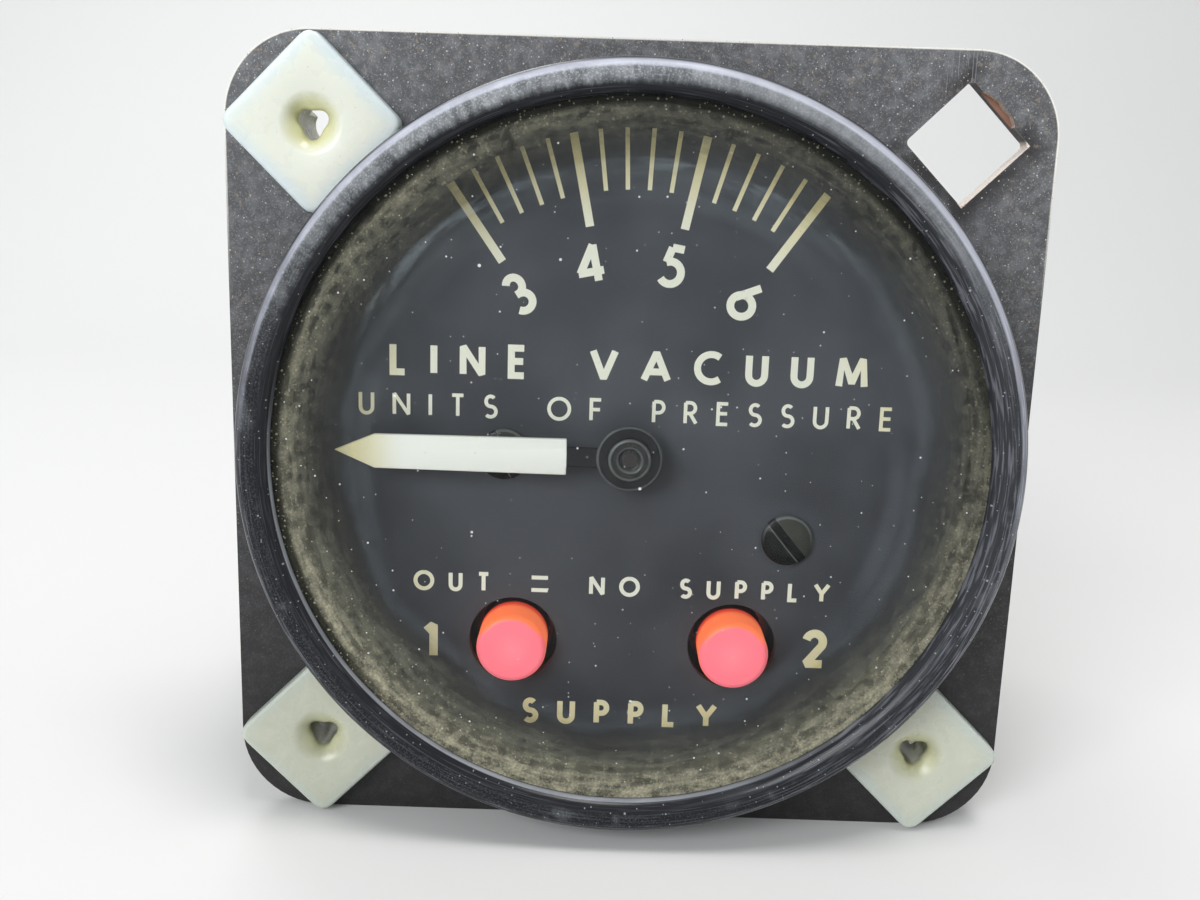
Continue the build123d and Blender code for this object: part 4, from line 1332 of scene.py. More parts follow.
@dataclass
class Turning:
    """A ring turned about the dial axis from a closed profile of radius and depth."""

    name: str
    profile: list[Point]
    segments: int
    sharp: float = 40.0

    def make(self, material: Material) -> Item:
        """Sweep the profile round the axis.

        Args:
            material: its finish.

        Returns:
            The ring.
        """
        middle = sum(radius for radius, _ in self.profile) / len(self.profile)
        curve = bpy.data.curves.new(self.name + "_profile", "CURVE")
        curve.dimensions = "3D"
        spline = curve.splines.new("POLY")
        spline.points.add(len(self.profile) - 1)
        for point, (radius, depth) in zip(spline.points, self.profile):
            point.co = ((radius - middle) * MM, depth * MM, 0.0, 1.0)
        spline.use_cyclic_u = True
        shape = NodeShape(self.name + "_tree")
        radius = shape.size("Radius", middle * MM)
        sockets = {"Resolution": shape.size("Segments", self.segments), "Radius": radius}
        path = shape.node("GeometryNodeCurvePrimitiveCircle", None, sockets)
        sockets = {"Curve": path.outputs["Curve"], "Profile Curve": shape.source.outputs[0]}
        swept = shape.node("GeometryNodeCurveToMesh", None, sockets)
        sockets = {"Geometry": swept.outputs[0], "Rotation": (math.pi / 2, 0.0, 0.0)}
        stood = shape.node("GeometryNodeTransform", None, sockets)
        return shape.piece(self.name, stood.outputs[0], curve, material, self.sharp)


@dataclass
class Bezel:
    """Ring that holds the glass: rounded crown, dusty slope and a thin lip."""

    tube_inner: float = 27.35
    relief_radius: float = 27.9
    crown_round: float = 1.02
    crown_steps: int = 12
    slope_steps: int = 18
    lip_wall: float = 0.1
    segments: int = 256

    def profile(self) -> list[Point]:
        """Outline of the ring's section.

        Returns:
            Its points, as a closed line.
        """
        outer = PLACES.bezel_radius
        front = PLACES.crown_front
        crown = (outer - self.crown_round, front + self.crown_round)
        lip_front = PLACES.glass_front - self.lip_wall
        points = [
            (PLACES.lip_radius, PLACES.glass_front),
            (self.tube_inner, PLACES.glass_front),
            (self.tube_inner, PLACES.flange_front),
            (self.relief_radius, PLACES.flange_front),
            (self.relief_radius, 0.0),
            (outer, 0.0),
        ]
        points += arc(crown, self.crown_round, 0.0, -90.0, self.crown_steps)
        for step in range(1, self.slope_steps + 1):
            turn = math.radians(90 * step / self.slope_steps)
            radius = crown[0] - (crown[0] - PLACES.lip_radius) * math.sin(turn)
            points.append((radius, lip_front - (lip_front - front) * math.cos(turn)))
        return points

    def make(self, material: Material) -> Item:
        """Build the ring."""
        ring = Turning("bezel_ring_enamelled", self.profile(), self.segments).make(material)
        return settle(ring, Body.HOUSING, "black_enamel", "bezel_ring")


@dataclass
class ScaleMarks:
    """Printed marks of the scale, set out by a geometry tree."""

    count: int = 16
    marks_per_number: int = 5
    half_angle: float = 35.0
    outer: float = 24.0
    long_length: float = 6.8
    short_length: float = 4.4
    long_width: float = 0.62
    short_width: float = 0.32
    thickness: float = 0.03
    sharp: float = 30.0

    def make(self, material: Material) -> Item:
        """Set the marks out along an arc: every so many a long one, short ones between.

        Args:
            material: their finish.

        Returns:
            The marks.
        """
        shape = NodeShape("scale_tree")
        count = shape.size("Count", self.count)
        per_number = shape.size("Marks per number", self.marks_per_number)
        start = shape.size("Start angle", math.radians(-self.half_angle))
        step = shape.size("Step", math.radians(2 * self.half_angle / (self.count - 1)))
        long_length = shape.size("Long length", self.long_length * MM)
        short_length = shape.size("Short length", self.short_length * MM)
        long_width = shape.size("Long width", self.long_width * MM)
        short_width = shape.size("Short width", self.short_width * MM)
        thickness = shape.size("Thickness", self.thickness * MM)
        outer = shape.size("Outer radius", self.outer * MM)
        bar = shape.node("GeometryNodeMeshCube", None, {"Size": (1.0, 1.0, 1.0)})
        sockets = {"Geometry": bar.outputs[0], "Translation": (0.0, -0.5, -0.5)}
        hung = shape.node("GeometryNodeTransform", None, sockets)
        index = shape.node("GeometryNodeInputIndex").outputs[0]
        angle = shape.maths("ADD", start, shape.maths("MULTIPLY", index, step))
        short = shape.maths("GREATER_THAN", shape.maths("MODULO", index, per_number), 0.5)

        def choose(long_size: Socket, short_size: Socket) -> Socket:
            """Pick the long or the short size for each mark."""
            change = shape.maths("SUBTRACT", short_size, long_size)
            return shape.maths("ADD", long_size, shape.maths("MULTIPLY", short, change))

        def vector(**axes: object) -> Socket:
            """Join numbers to a vector."""
            return shape.node("ShaderNodeCombineXYZ", None, axes).outputs[0]

        across = shape.maths("MULTIPLY", outer, shape.maths("SINE", angle, 0.0))
        above = shape.maths("MULTIPLY", outer, shape.maths("COSINE", angle, 0.0))
        sockets = {"Count": count, "Position": vector(X=across, Y=PLACES.dial_front * MM, Z=above)}
        points = shape.node("GeometryNodePoints", None, sockets)
        turn = shape.node("FunctionNodeEulerToRotation", None, {"Euler": vector(Y=angle)})
        width = choose(long_width, short_width)
        sockets = {
            "Points": points.outputs[0],
            "Instance": hung.outputs[0],
            "Rotation": turn.outputs[0],
            "Scale": vector(X=width, Y=thickness, Z=choose(long_length, short_length)),
        }
        placed = shape.node("GeometryNodeInstanceOnPoints", None, sockets)
        base = bpy.data.meshes.new("scale_base")
        marks = shape.piece("scale_print", placed.outputs[0], base, material, self.sharp)
        return settle(marks, Body.HOUSING, "pointer_cream", "scale_marks")


# Degrees between the points of a curved stroke, and the fewest steps that one has.
BOWL_STEP = 15
BOWL_STEPS_LEAST = 6


def bowl(x: float, y: float, rx: float, ry: float, start: float, end: float) -> Stroke:
    """A curved stroke of a letter, on an ellipse.

    Args:
        x: the ellipse's middle, across.
        y: its middle, up.
        rx: half its width.
        ry: half its height.
        start: where the stroke begins, in degrees.
        end: where it ends.

    Returns:
        The points of the stroke.
    """
    steps = max(BOWL_STEPS_LEAST, int(abs(end - start) / BOWL_STEP))
    angles = [math.radians(start + (end - start) * step / steps) for step in range(steps + 1)]
    return [(x + rx * math.cos(a), y + ry * math.sin(a)) for a in angles]


@dataclass(frozen=True)
class Glyph:
    """A letter or figure: its width and its strokes, on a cap height of 1."""

    width: float
    strokes: tuple[Stroke, ...]


GLYPHS: dict[str, Glyph] = {
    "A": Glyph(0.86, ([(0, 0), (0.43, 1), (0.86, 0)], [(0.14, 0.30), (0.72, 0.30)])),
    "C": Glyph(0.80, (bowl(0.5, 0.5, 0.5, 0.5, 52, 308),)),
    "E": Glyph(0.46, ([(0.46, 1), (0, 1), (0, 0), (0.46, 0)], [(0, 0.52), (0.43, 0.52)])),
    "F": Glyph(0.46, ([(0.46, 1), (0, 1), (0, 0)], [(0, 0.52), (0.42, 0.52)])),
    "I": Glyph(0.0, ([(0, 0), (0, 1)],)),
    "L": Glyph(0.42, ([(0, 1), (0, 0), (0.42, 0)],)),
    "M": Glyph(0.92, ([(0, 0), (0.10, 1), (0.46, 0.12), (0.82, 1), (0.92, 0)],)),
    "N": Glyph(0.68, ([(0, 0), (0, 1), (0.68, 0), (0.68, 1)],)),
    "O": Glyph(0.98, (bowl(0.49, 0.5, 0.49, 0.5, 90, 450),)),
    "P": Glyph(
        0.47,
        (
            [(0, 0), (0, 1)],
            [(0, 1), (0.2, 1)] + bowl(0.22, 0.73, 0.25, 0.27, 75, -75) + [(0.2, 0.46), (0, 0.46)],
        ),
    ),
    "R": Glyph(
        0.52,
        (
            [(0, 0), (0, 1)],
            [(0, 1), (0.2, 1)] + bowl(0.22, 0.74, 0.25, 0.26, 75, -75) + [(0.2, 0.48), (0, 0.48)],
            [(0.22, 0.48), (0.52, 0)],
        ),
    ),
    "S": Glyph(
        0.52,
        (bowl(0.26, 0.755, 0.22, 0.245, 40, 270) + bowl(0.26, 0.255, 0.26, 0.255, 75, -140),),
    ),
    "T": Glyph(0.54, ([(0, 1), (0.54, 1)], [(0.27, 1), (0.27, 0)])),
    "U": Glyph(
        0.58,
        ([(0, 1), (0, 0.34)] + bowl(0.29, 0.30, 0.29, 0.30, 195, 345) + [(0.58, 0.34), (0.58, 1)],),
    ),
    "V": Glyph(0.80, ([(0, 1), (0.40, 0), (0.80, 1)],)),
    "Y": Glyph(0.76, ([(0, 1), (0.38, 0.45), (0.76, 1)], [(0.38, 0.45), (0.38, 0)])),
    "=": Glyph(0.95, ([(0, 0.88), (0.95, 0.88)], [(0, 0.12), (0.95, 0.12)])),
    "1": Glyph(0.22, ([(0, 0.80), (0.22, 1), (0.22, 0)],)),
    "2": Glyph(0.54, (bowl(0.27, 0.72, 0.26, 0.28, 165, -25) + [(0.04, 0.0), (0.54, 0.0)],)),
    "3": Glyph(
        0.50,
        (
            bowl(0.24, 0.755, 0.22, 0.245, 150, -90) + [(0.17, 0.51)],
            [(0.17, 0.51)] + bowl(0.24, 0.255, 0.26, 0.255, 90, -145),
        ),
    ),
    "4": Glyph(0.66, (
        [(0.47, 0), (0.47, 1)], [(0.47, 1), (0, 0.27)], [(-0.05, 0.27), (0.66, 0.27)]
    )),
    "5": Glyph(
        0.54,
        (
            [(0.50, 1), (0.17, 1)], [(0.17, 1), (0.08, 0.58)],
            bowl(0.24, 0.31, 0.30, 0.31, 122, -140),
        ),
    ),
    "6": Glyph(0.62, (bowl(0.31, 0.30, 0.31, 0.30, 90, 450), [(0.50, 1), (0.05, 0.42)])),
}


@dataclass(frozen=True)
class Line:
    """A line of print: its letters' height and stroke, where it runs and how it is placed."""

    words: str
    cap: float
    weight: float
    base: float
    start: float
    end: float = 0.0
    align: Align = Align.SPREAD


@dataclass
class Lettering:
    """Lays strokes of print on the dial, each a little in front of the last where they cross."""

    shape: Shape = field(default_factory=Shape)
    count: int = 0
    thickness: float = 0.03
    layer: float = 0.001
    layers_end: float = 0.02
    space: float = 0.62
    mitred_from: float = 0.82
    squared_from: float = 0.6

    def stroke(self, points: Stroke, weight: float, place: Place) -> None:
        """Add one stroke with flat ends and bevelled sharp corners.

        Args:
            points: its centre line.
            weight: its width in millimetres.
            place: moves a point of the glyph to X and Z on the dial.
        """
        line = [Vector(place(point)) for point in points]
        left: list[Point] = []
        right: list[Point] = []
        half = weight / 2
        for spot, point in enumerate(line):
            before = (point - line[spot - 1]).normalized() if spot else None
            after = (line[spot + 1] - point).normalized() if spot < len(line) - 1 else None
            into = before if before is not None else after
            out = after if after is not None else before
            normals = [Vector((-d.y, d.x)) for d in (into, out)]
            middle = (normals[0] + normals[1]).normalized()
            spread = max(middle.dot(normals[0]), 0.2)
            if spread > self.mitred_from:
                shift = middle * (half / spread)
                left.append(tuple(point + shift))
                right.append(tuple(point - shift))
                continue
            inner = middle * min(half / spread, weight * 1.6)
            turns_left = into.x * out.y - into.y * out.x > 0
            square = spread > self.squared_from
            for normal in normals:
                outside = middle * (half / spread) if square else normal * half
                left.append(tuple(point + (inner if turns_left else outside)))
                right.append(tuple(point - (outside if turns_left else inner)))
        front = PLACES.dial_front - self.thickness - self.count * self.layer % self.layers_end
        self.count += 1
        self.shape.ribbon(left, right, front, PLACES.dial_front)

    def line(self, line: Line) -> None:
        """Print one line of words.

        Args:
            line: what it says and where it stands.
        """
        height = line.cap - line.weight
        widths = []
        for letter in line.words:
            if letter == " ":
                widths.append(self.space * height)
            else:
                widths.append(GLYPHS[letter].width * height + line.weight)
        gap = 0.0
        pen = line.start - sum(widths) / 2
        if line.align is Align.SPREAD:
            gap = (line.end - line.start - sum(widths)) / (len(line.words) - 1)
            pen = line.start
        for letter, width in zip(line.words, widths):
            if letter != " ":
                corner = (pen + line.weight / 2, line.base + line.weight / 2)
                self.glyph(
                    letter, height, line.weight, lambda p, c=corner: (c[0] + p[0], c[1] + p[1])
                )
            pen += width + gap

    def glyph(self, letter: str, height: float, weight: float, place: Place) -> None:
        """Print one letter.

        Args:
            letter: which one.
            height: height of its centre lines in millimetres.
            weight: width of its strokes in millimetres.
            place: moves a point, in millimetres from the letter's corner, to X and Z.
        """
        for points in GLYPHS[letter].strokes:
            self.stroke(points, weight, lambda p: place((p[0] * height, p[1] * height)))


@dataclass
class DialPrint:
    """Words and figures printed on the dial."""

    lines: tuple[Line, ...] = (
        Line("LINE VACUUM", cap=2.6, weight=0.52, base=5.35, start=-18.25, end=17.75),
        Line("UNITS OF PRESSURE", cap=1.85, weight=0.27, base=2.25, start=-20.6, end=19.85),
        Line("OUT = NO SUPPLY", cap=1.65, weight=0.31, base=-11.6, start=-16.45, end=16.1),
        Line("1", cap=3.2, weight=0.66, base=-17.3, start=-15.15, align=Align.CENTRE),
        Line("2", cap=3.2, weight=0.66, base=-17.0, start=15.15, align=Align.CENTRE),
        Line("SUPPLY", cap=2.15, weight=0.44, base=-22.45, start=-7.8, end=7.8),
    )
    figures: tuple[tuple[str, Point], ...] = (
        ("3", (-8.6, 11.75)),
        ("4", (-3.35, 14.15)),
        ("5", (2.7, 14.15)),
        ("6", (8.2, 11.85)),
    )
    figure_cap: float = 3.25
    figure_weight: float = 0.58
    figure_lean: float = 0.9
    sharp: float = 30.0

    def make(self, material: Material) -> Item:
        """Build the print.

        Args:
            material: its finish.

        Returns:
            The print.
        """
        ink = Lettering()
        for line in self.lines:
            ink.line(line)
        for figure, middle in self.figures:
            self._figure(ink, figure, middle)
        print_piece = ink.shape.piece("dial_print", material, self.sharp)
        return settle(print_piece, Body.HOUSING, "pointer_cream")

    def _figure(self, ink: Lettering, figure: str, middle: Point) -> None:
        """Print one figure of the scale, turned to stand on its mark.

        Args:
            ink: where it is printed.
            figure: which one.
            middle: where its middle is on the dial.
        """
        height = self.figure_cap - self.figure_weight
        width = GLYPHS[figure].width * height
        lean = math.atan2(-middle[0], middle[1]) * self.figure_lean

        def place(point: Point) -> Point:
            """Turn a point of the figure about its middle.

            Args:
                point: where it is in the upright figure.

            Returns:
                Where it is on the dial.
            """
            x = point[0] - width / 2
            z = point[1] - height / 2
            return (
                middle[0] + x * math.cos(lean) - z * math.sin(lean),
                middle[1] + x * math.sin(lean) + z * math.cos(lean),
            )

        ink.glyph(figure, height, self.figure_weight, place)


@dataclass
class PointerHub:
    """Turned hub: rounded boss with a dimple round the staff's tip."""

    bore: float = 0.5
    sleeve: float = 1.1
    boss: float = 1.65
    front: float = -1.4
    eye_front: float = -0.9
    eye_back: float = -0.5
    sleeve_length: float = 1.3
    dimple: float = 0.85
    dimple_depth: float = 0.3
    outer_round: float = 0.3
    inner_round: float = 0.26
    hollow: float = 0.2
    edge_steps: int = 8
    hollow_steps: int = 5
    segments: int = 64

    def make(self, material: Material) -> Item:
        """Build the hub.

        Args:
            material: its finish.

        Returns:
            The hub.
        """
        floor = self.front + self.dimple_depth
        back = self.eye_back + self.sleeve_length
        profile = [(self.bore, floor), (self.bore, back), (self.sleeve, back)]
        profile += [(self.sleeve, self.eye_front), (self.boss, self.eye_front)]
        outer = (self.boss - self.outer_round, self.front + self.outer_round)
        inner = (self.dimple + self.inner_round, self.front + self.inner_round)
        profile += arc(outer, self.outer_round, 0.0, -90.0, self.edge_steps)
        profile += arc(inner, self.inner_round, 270.0, 180.0, self.edge_steps)
        hollow = (self.dimple - self.hollow, floor - self.hollow)
        profile += arc(hollow, self.hollow, 0.0, 90.0, self.hollow_steps)
        hub = Turning("pointer_hub_turned", profile, self.segments).make(material)
        return settle(hub, Body.POINTER, "blackened_steel", "pointer_hub")


@dataclass
class FromFrame:
    """A copy of a piece of the frame."""

    node: str
    slot: str

    def copy(self, ending: str, flat_below: float = 0.0) -> Item:
        """Copy the piece and join its faces.

        Args:
            ending: what is added to its name.
            flat_below: faces that meet at less than this many degrees become one.

        Returns:
            The copy.
        """
        mesh = frame["nodes"][self.node].data.copy()
        with editing(mesh) as made:
            bmesh.ops.remove_doubles(made, verts=made.verts, dist=SAME_IN_FRAME)
            if flat_below:
                flat = math.radians(flat_below)
                bmesh.ops.dissolve_limit(made, angle_limit=flat, verts=made.verts, edges=made.edges)
        return stand(self.node + ending, mesh)


@dataclass
class SoftEdged(FromFrame):
    """A piece of the frame whose sharp edges are rounded over."""

    body: Body
    width: float
    steps: int = 3
    from_angle: float = 35.0
    flat_below: float = 0.5

    def make(self, material: Material) -> Item:
        """Copy the piece and round its edges.

        Args:
            material: its finish.

        Returns:
            The rounded piece.
        """
        piece = self.copy("_rounded", self.flat_below)
        modifier = piece.modifiers.new("round", "BEVEL")
        modifier.width = self.width * MM
        modifier.segments = self.steps
        modifier.limit_method = "ANGLE"
        modifier.angle_limit = math.radians(self.from_angle)
        rounded = evaluated(piece)
        piece.modifiers.clear()
        piece.data = dress(rounded, material, self.from_angle)
        return settle(piece, self.body, self.slot, self.node)


@dataclass
class Flexing(FromFrame):
    """A spring or capsule of the frame, copied with its finish onto the housing."""

    joint: str
    axis: int
    fixed_at_top: bool
    sharp: float = 35.0

    def make(self, material: Material) -> Item:
        """Copy the piece, give it its finish and put it on the housing in place of the node.

        Args:
            material: its finish.

        Returns:
            The piece.
        """
        piece = self.copy("_flexing")
        dress(piece.data, material, self.sharp, smooth=False)
        low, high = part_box(self.node)
        anchor = (low + high) / 2
        anchor[self.axis] = high[self.axis] if self.fixed_at_top else low[self.axis]
        own = next(joint for joint in frame["joints"] if joint["name"] == self.joint)
        travel = own["range_m"][1]
        keep = 1.0 - travel / (high[self.axis] - low[self.axis])
        settle(piece, Body.HOUSING, self.slot, self.node)
        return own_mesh(piece)


@dataclass
class MountingNut:
    """Nylon nut: square head with soft edges, dished mouth, split shank and two latches."""

    side_x: int
    side_z: int
    name: str
    points: int = 96
    head_half: float = 4.7625
    head_corner: float = 1.0
    head_edge: float = 0.32
    edge_steps: int = 5
    rim_width: float = 1.1
    rim_corner: float = 0.9
    rim_depth: float = 0.01
    shank_half: float = 3.075
    shank_corner: float = 0.8
    shank_end: float = 7.6
    tip_bevel: float = 0.6
    tip_corner: float = 0.4
    dish_radius: float = 2.3
    dish_depth: float = 0.65
    dish_curve: float = 1.5
    dish_steps: int = 8
    mouth_radius: float = 1.05
    mouth_edge: float = 0.14
    mouth_lobe: float = 0.17
    mouth_turn: float = 28.0
    mouth_start: float = 0.2
    mouth_end: float = 0.6
    bore: float = 1.3
    bore_start: float = 1.0
    slot_half: float = 0.35
    slot_start: float = 4.6
    latch_gap: float = 0.1
    latch_height: float = 0.4
    latch_length: float = 1.6
    latch_root: float = 0.5
    sharp: float = 50.0

    def _square(self, half: float, corner: float, depth: float) -> list[Point3]:
        """Ring of points on a square with rounded corners, standing on one corner.

        Args:
            half: half the square's side.
            corner: radius of its corners.
            depth: where the ring lies along the nut.

        Returns:
            The points.
        """
        ring = []
        flat = half - corner
        for spot in range(self.points):
            angle = 2 * math.pi * spot / self.points
            dx, dz = math.cos(angle), math.sin(angle)
            reach = half / max(abs(dx), abs(dz))
            if abs(dx * reach) > flat and abs(dz * reach) > flat:
                cx, cz = math.copysign(flat, dx), math.copysign(flat, dz)
                along = dx * cx + dz * cz
                under_root = along * along - 2 * flat * flat + corner * corner
                reach = along + math.sqrt(max(under_root, 0.0))
            turned = angle + math.pi / 4
            ring.append(self._spot(reach * math.cos(turned), depth, reach * math.sin(turned)))
        return ring

    def _circle(self, radius: float, depth: float, lobe: float = 0.0) -> list[Point3]:
        """Ring of points on a circle, which may have three lobes.

        Args:
            radius: the circle's radius.
            depth: where the ring lies along the nut.
            lobe: how far the lobes stand out.

        Returns:
            The points.
        """
        ring = []
        for spot in range(self.points):
            angle = 2 * math.pi * spot / self.points + math.pi / 4
            reach = radius + lobe * math.cos(3 * (angle - math.radians(self.mouth_turn)))
            ring.append(self._spot(reach * math.cos(angle), depth, reach * math.sin(angle)))
        return ring

    def _spot(self, x: float, depth: float, z: float) -> Point3:
        """Move a point of the nut to its corner of the flange."""
        return (x + self.side_x * PLACES.hole_half, depth, z + self.side_z * PLACES.hole_half)

    def _rings(self) -> list[list[Point3]]:
        """Rings of the nut's surface.

        Returns:
            The rings, from the head's back over its front, down the bore and out over the shank.
        """
        front = PLACES.nut_front
        back = PLACES.flange_front
        rings = [self._square(self.head_half, self.head_corner, back)]
        for step in range(self.edge_steps + 1):
            angle = math.radians(90 * step / self.edge_steps)
            inset = self.head_edge * (1 - math.cos(angle))
            depth = front + self.head_edge * (1 - math.sin(angle))
            rings.append(self._square(self.head_half - inset, self.head_corner - inset / 2, depth))
        rim = front + self.rim_depth
        rings.append(self._square(self.head_half - self.rim_width, self.rim_corner, rim))
        floor = front + self.dish_depth
        for step in range(self.dish_steps + 1):
            share = step / self.dish_steps
            fall = self.dish_depth * (share ** self.dish_curve)
            mouth = self.mouth_radius + self.mouth_edge
            radius = self.dish_radius + (mouth - self.dish_radius) * share
            rings.append(self._circle(radius, rim + fall, self.mouth_lobe * share ** 2))
        return rings + [
            self._circle(self.mouth_radius, floor + self.mouth_start, self.mouth_lobe),
            self._circle(self.mouth_radius, floor + self.mouth_end, self.mouth_lobe),
            self._circle(self.bore, floor + self.bore_start),
            self._circle(self.bore, self.shank_end),
            self._square(self.shank_half - self.tip_bevel, self.tip_corner, self.shank_end),
            self._square(self.shank_half, self.shank_corner, self.shank_end - self.tip_bevel),
            self._square(self.shank_half, self.shank_corner, back),
        ]

    def _turned(self, along: float, across: float, depth: float, turn: float) -> Point3:
        """Point of the nut at a distance along and across a direction."""
        x = along * math.cos(turn) - across * math.sin(turn)
        return self._spot(x, depth, along * math.sin(turn) + across * math.cos(turn))

    def _latches(self) -> Shape:
        """Wedges that hold the nut behind the flange.

        Returns:
            The shape of the two.
        """
        shape = Shape()
        base = PLACES.flange_back + self.latch_gap
        inner = self.shank_half - self.latch_root
        outer = self.shank_half + self.latch_height
        width = self.shank_half / 2
        side = ((inner, base), (outer, base), (inner, base + self.latch_length))
        spots = [(along, across, y) for across in (-width, width) for along, y in side]
        for turn in (math.pi / 4, 5 * math.pi / 4):
            shape.wedge([self._turned(*spot, turn) for spot in spots])
        return shape

    def _cutter(self) -> Shape:
        """Block that cuts the slot of the shank.

        Returns:
            Its shape.
        """
        shape = Shape()
        long = 2 * self.shank_half
        wide = self.slot_half
        corners = ((-long, -wide), (long, -wide), (long, wide), (-long, wide))
        ends = (self.slot_start, self.shank_end + 1.0)
        rings = [[self._turned(*corner, y, -math.pi / 4) for corner in corners] for y in ends]
        shape.loft(rings, False)
        shape.faces += [(0, 1, 2, 3), (7, 6, 5, 4)]
        return shape

    def make(self, material: Material) -> Item:
        """Build the nut, cut the slot that splits its shank and add its latches.

        Args:
            material: its finish.

        Returns:
            The nut.
        """
        shape = Shape()
        shape.loft(self._rings(), True)
        nut = shape.piece(self.name + "_nylon", material, self.sharp)
        cutter = self._cutter().piece(self.name + "_cutter", material, self.sharp)
        modifier = nut.modifiers.new("slot", "BOOLEAN")
        modifier.operation = "DIFFERENCE"
        modifier.object = cutter
        cut = evaluated(nut)
        nut.modifiers.clear()
        nut.data = cut
        latches = self._latches().piece(self.name + "_latches", material, self.sharp)
        with editing(cut) as joined:
            joined.from_mesh(latches.data)
        for helper in (cutter, latches):
            bpy.data.objects.remove(helper)
        cut.set_sharp_from_angle(angle=math.radians(self.sharp))
        return settle(nut, Body.HOUSING, "natural_nylon", self.name)


class Wardrobe:
    """The finishes of the frame's own nodes, by material slot."""

    def __init__(self) -> None:
        """Make every finish once."""
        finishes = (
            Phenolic(),
            Enamel(),
            DustyGlass(),
            DialPaint(),
            PrintInk(),
            PointerPaint(),
            BlackenedSteel(),
            FluorescentPlastic(),
            Nylon(),
            Rubber("gasket_rubber", (0.03, 0.03, 0.03)),
            Rubber("tube_rubber", (0.07, 0.06, 0.05)),
            Metal("movement_brass", (0.72, 0.52, 0.22), (0.45, 0.30, 0.13), 0.22),
            Metal(
                "bright_steel", (0.60, 0.60, 0.61), (0.38, 0.38, 0.39), 0.20,
                darkened_before=0.4,
            ),
            Metal("spring_bronze", (0.66, 0.42, 0.20), (0.42, 0.25, 0.13), 0.25),
            Metal("spring_steel", (0.50, 0.50, 0.52), (0.30, 0.30, 0.32), 0.28),
            Metal(
                "turned_aluminium", (0.72, 0.73, 0.74), (0.50, 0.51, 0.52), 0.26,
                darkened_before=5.5,
            ),
            Metal("fitting_brass", (0.70, 0.52, 0.23), (0.40, 0.28, 0.13), 0.25),
        )
        self.finishes = {finish.name: finish.make() for finish in finishes}

    def __getitem__(self, name: str) -> Material:
        """The finish of a slot."""
        return self.finishes[name]

    def dress(self, subparts: Iterable[dict]) -> None:
        """Give every node of the frame the finish of its slot.

        Args:
            subparts: the record's list of nodes and slots.
        """
        for part in subparts:
            node = frame["nodes"][part["node"]]
            for slot in node.material_slots:
                slot.material = self.finishes[part["material_slot"]]
            LOG.info("node %s wears %s", part["node"], part["material_slot"])


@dataclass(frozen=True)
class Lamp:
    """A square soft lamp aimed at the dial, in millimetres and watts."""

    name: str
    place: Point3
    side: float
    power: float
    colour: Colour

    def make(self) -> Item:
        """Build the lamp.

        Returns:
            Its object.
        """
        lamp = bpy.data.lights.new(self.name, "AREA")
        lamp.shape = "SQUARE"
        lamp.size = self.side * MM
        lamp.energy = self.power
        lamp.color = self.colour
        made = stand(self.name, lamp)
        spot = Vector(self.place) * MM
        made.location = spot
        made.rotation_euler = (-spot).to_track_quat("-Z", "Y").to_euler()
        return made


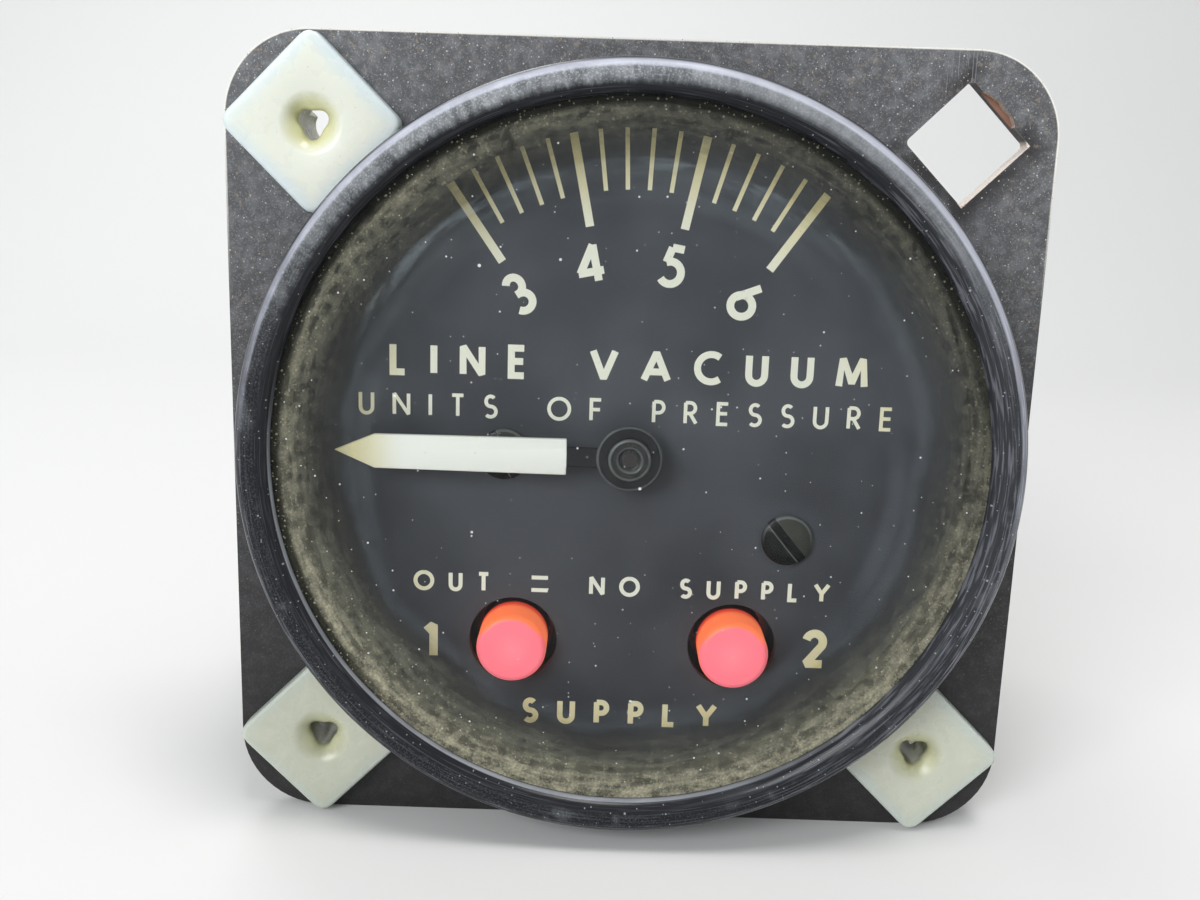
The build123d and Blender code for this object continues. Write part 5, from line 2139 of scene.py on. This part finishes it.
@dataclass
class Studio:
    """Floor, lamps, world and camera."""

    floor_height: float = -30.2
    floor_front: float = -4000.0
    bend_start: float = 240.0
    bend_radius: float = 260.0
    bend_steps: int = 24
    half_width: float = 1500.0
    wall_height: float = 1200.0
    floor_sharp: float = 30.0
    sky: Colour = (0.95, 0.97, 1.0)
    sky_light: float = 0.40
    backdrop: Colour = (0.94, 0.94, 0.94)
    lamps: tuple[Lamp, ...] = (
        Lamp("overhead", (60.0, -105.0, 420.0), 150.0, 0.9, (1.0, 0.99, 0.97)),
        Lamp("front_fill", (-520.0, -820.0, 420.0), 500.0, 7.2, (0.96, 0.98, 1.0)),
        Lamp("back_edge", (-160.0, 320.0, 360.0), 200.0, 0.5, (1.0, 1.0, 1.0)),
    )
    camera_place: Point3 = (-2.08739, -92.27437, 20.83897)
    camera_turn: Point3 = (0.21757, 0.00493, 0.03228)
    camera_range: Point = (0.005, 10.0)
    focal_pixels: float = 1260.94457
    image_width: float = 1200.0
    sensor: float = 36.0

    def make_floor(self) -> None:
        """Build the floor that bends up into a backdrop."""
        profile = [(self.floor_front, self.floor_height), (self.bend_start, self.floor_height)]
        centre = (self.bend_start, self.floor_height + self.bend_radius)
        profile += arc(centre, self.bend_radius, -90.0, 0.0, self.bend_steps)[1:]
        profile.append((self.bend_start + self.bend_radius, self.wall_height))
        shape = Shape()
        shape.vertices = [(side * self.half_width, y, z) for y, z in profile for side in (-1, 1)]
        shape.faces = [(2 * n, 2 * n + 1, 2 * n + 3, 2 * n + 2) for n in range(len(profile) - 1)]
        floor = shape.piece("floor", StudioPaper().make(), self.floor_sharp)
        floor.data.flip_normals()

    def make_world(self) -> None:
        """White to the camera, to reflections and through glass, a soft light elsewhere."""
        world = bpy.data.worlds.new("studio_world")
        bpy.context.scene.world = world
        world.use_nodes = True
        tree = Tree(world.node_tree)
        rays = tree.node("ShaderNodeLightPath").outputs
        seen = rays["Is Camera Ray"]
        for ray in ("Is Glossy Ray", "Is Transmission Ray"):
            larger = tree.node("ShaderNodeMath", {"operation": "MAXIMUM"}, {0: seen, 1: rays[ray]})
            seen = larger.outputs[0]
        sockets = {0: seen}
        for place, colour, strength in ((1, self.sky, self.sky_light), (2, self.backdrop, 1.0)):
            light = tree.node("ShaderNodeBackground", None, {"Color": colour, "Strength": strength})
            sockets[place] = light.outputs[0]
        mix = tree.node("ShaderNodeMixShader", None, sockets)
        tree.node("ShaderNodeOutputWorld", None, {"Surface": mix.outputs[0]})

    def make_camera(self) -> None:
        """Place the camera at the photograph's viewing angle."""
        spin = Vector(self.camera_turn)
        turn = Matrix.Rotation(spin.length, 3, spin.normalized())
        base = Matrix(((1.0, 0.0, 0.0), (0.0, 0.0, -1.0), (0.0, 1.0, 0.0)))
        right, down, forward = turn @ base
        camera = bpy.data.cameras.new("camera")
        camera.sensor_width = self.sensor
        camera.lens = self.focal_pixels / self.image_width * self.sensor
        camera.clip_start, camera.clip_end = self.camera_range
        made = stand("camera", camera)
        axes = Matrix((right, -down, -forward)).transposed()
        made.matrix_world = Matrix.Translation(Vector(self.camera_place) * MM) @ axes.to_4x4()
        bpy.context.scene.camera = made

    def make(self) -> None:
        """Build the whole set."""
        self.make_floor()
        self.make_world()
        for lamp in self.lamps:
            lamp.make()
        self.make_camera()
        bpy.context.scene.view_settings.view_transform = "Standard"


def main() -> None:
    """Build the pieces in order."""
    logging.basicConfig(level=logging.INFO, format="%(message)s")
    finishes = Wardrobe()
    finishes.dress(frame["record"]["subparts"])
    Studio().make()
    Bezel().make(finishes["black_enamel"])
    ScaleMarks().make(finishes["cream_print"])
    DialPrint().make(finishes["cream_print"])
    hub_steel = BlackenedSteel("hub_steel", highlight_rings=((1.5, 0.60), (0.9, 0.75), (0.45, 0.30)))
    PointerHub().make(hub_steel.make())
    SoftEdged("pointer", "pointer_cream", Body.POINTER, 0.1).make(finishes["pointer_cream"])
    for side, centre, angle in (("right", (12.4, -6.5), -50.0), ("left", (-9.5, -0.4), -60.0)):
        steel = BlackenedSteel(f"screw_steel_{side}", gloss=0.12, centre=centre, slot_angle=angle)
        SoftEdged(f"dial_screw_{side}", "blackened_steel", Body.HOUSING, 0.05).make(steel.make())
    for side in ("left", "right"):
        joint = f"{side}_button_slide"
        coil = Flexing(f"indicator_spring_{side}", "spring_steel", joint, axis=1, fixed_at_top=True)
        coil.make(finishes["spring_steel"])
    capsule = Flexing("capsule", "spring_bronze", "capsule_travel", axis=2, fixed_at_top=False)
    capsule.make(finishes["spring_bronze"])
    for side_x, side_z, name in (
        (-1, 1, "mounting_nut_upper_left"),
        (-1, -1, "mounting_nut_lower_left"),
        (1, -1, "mounting_nut_lower_right"),
    ):
        MountingNut(side_x, side_z, name).make(finishes["natural_nylon"])


if __name__ == "__main__":
    main()
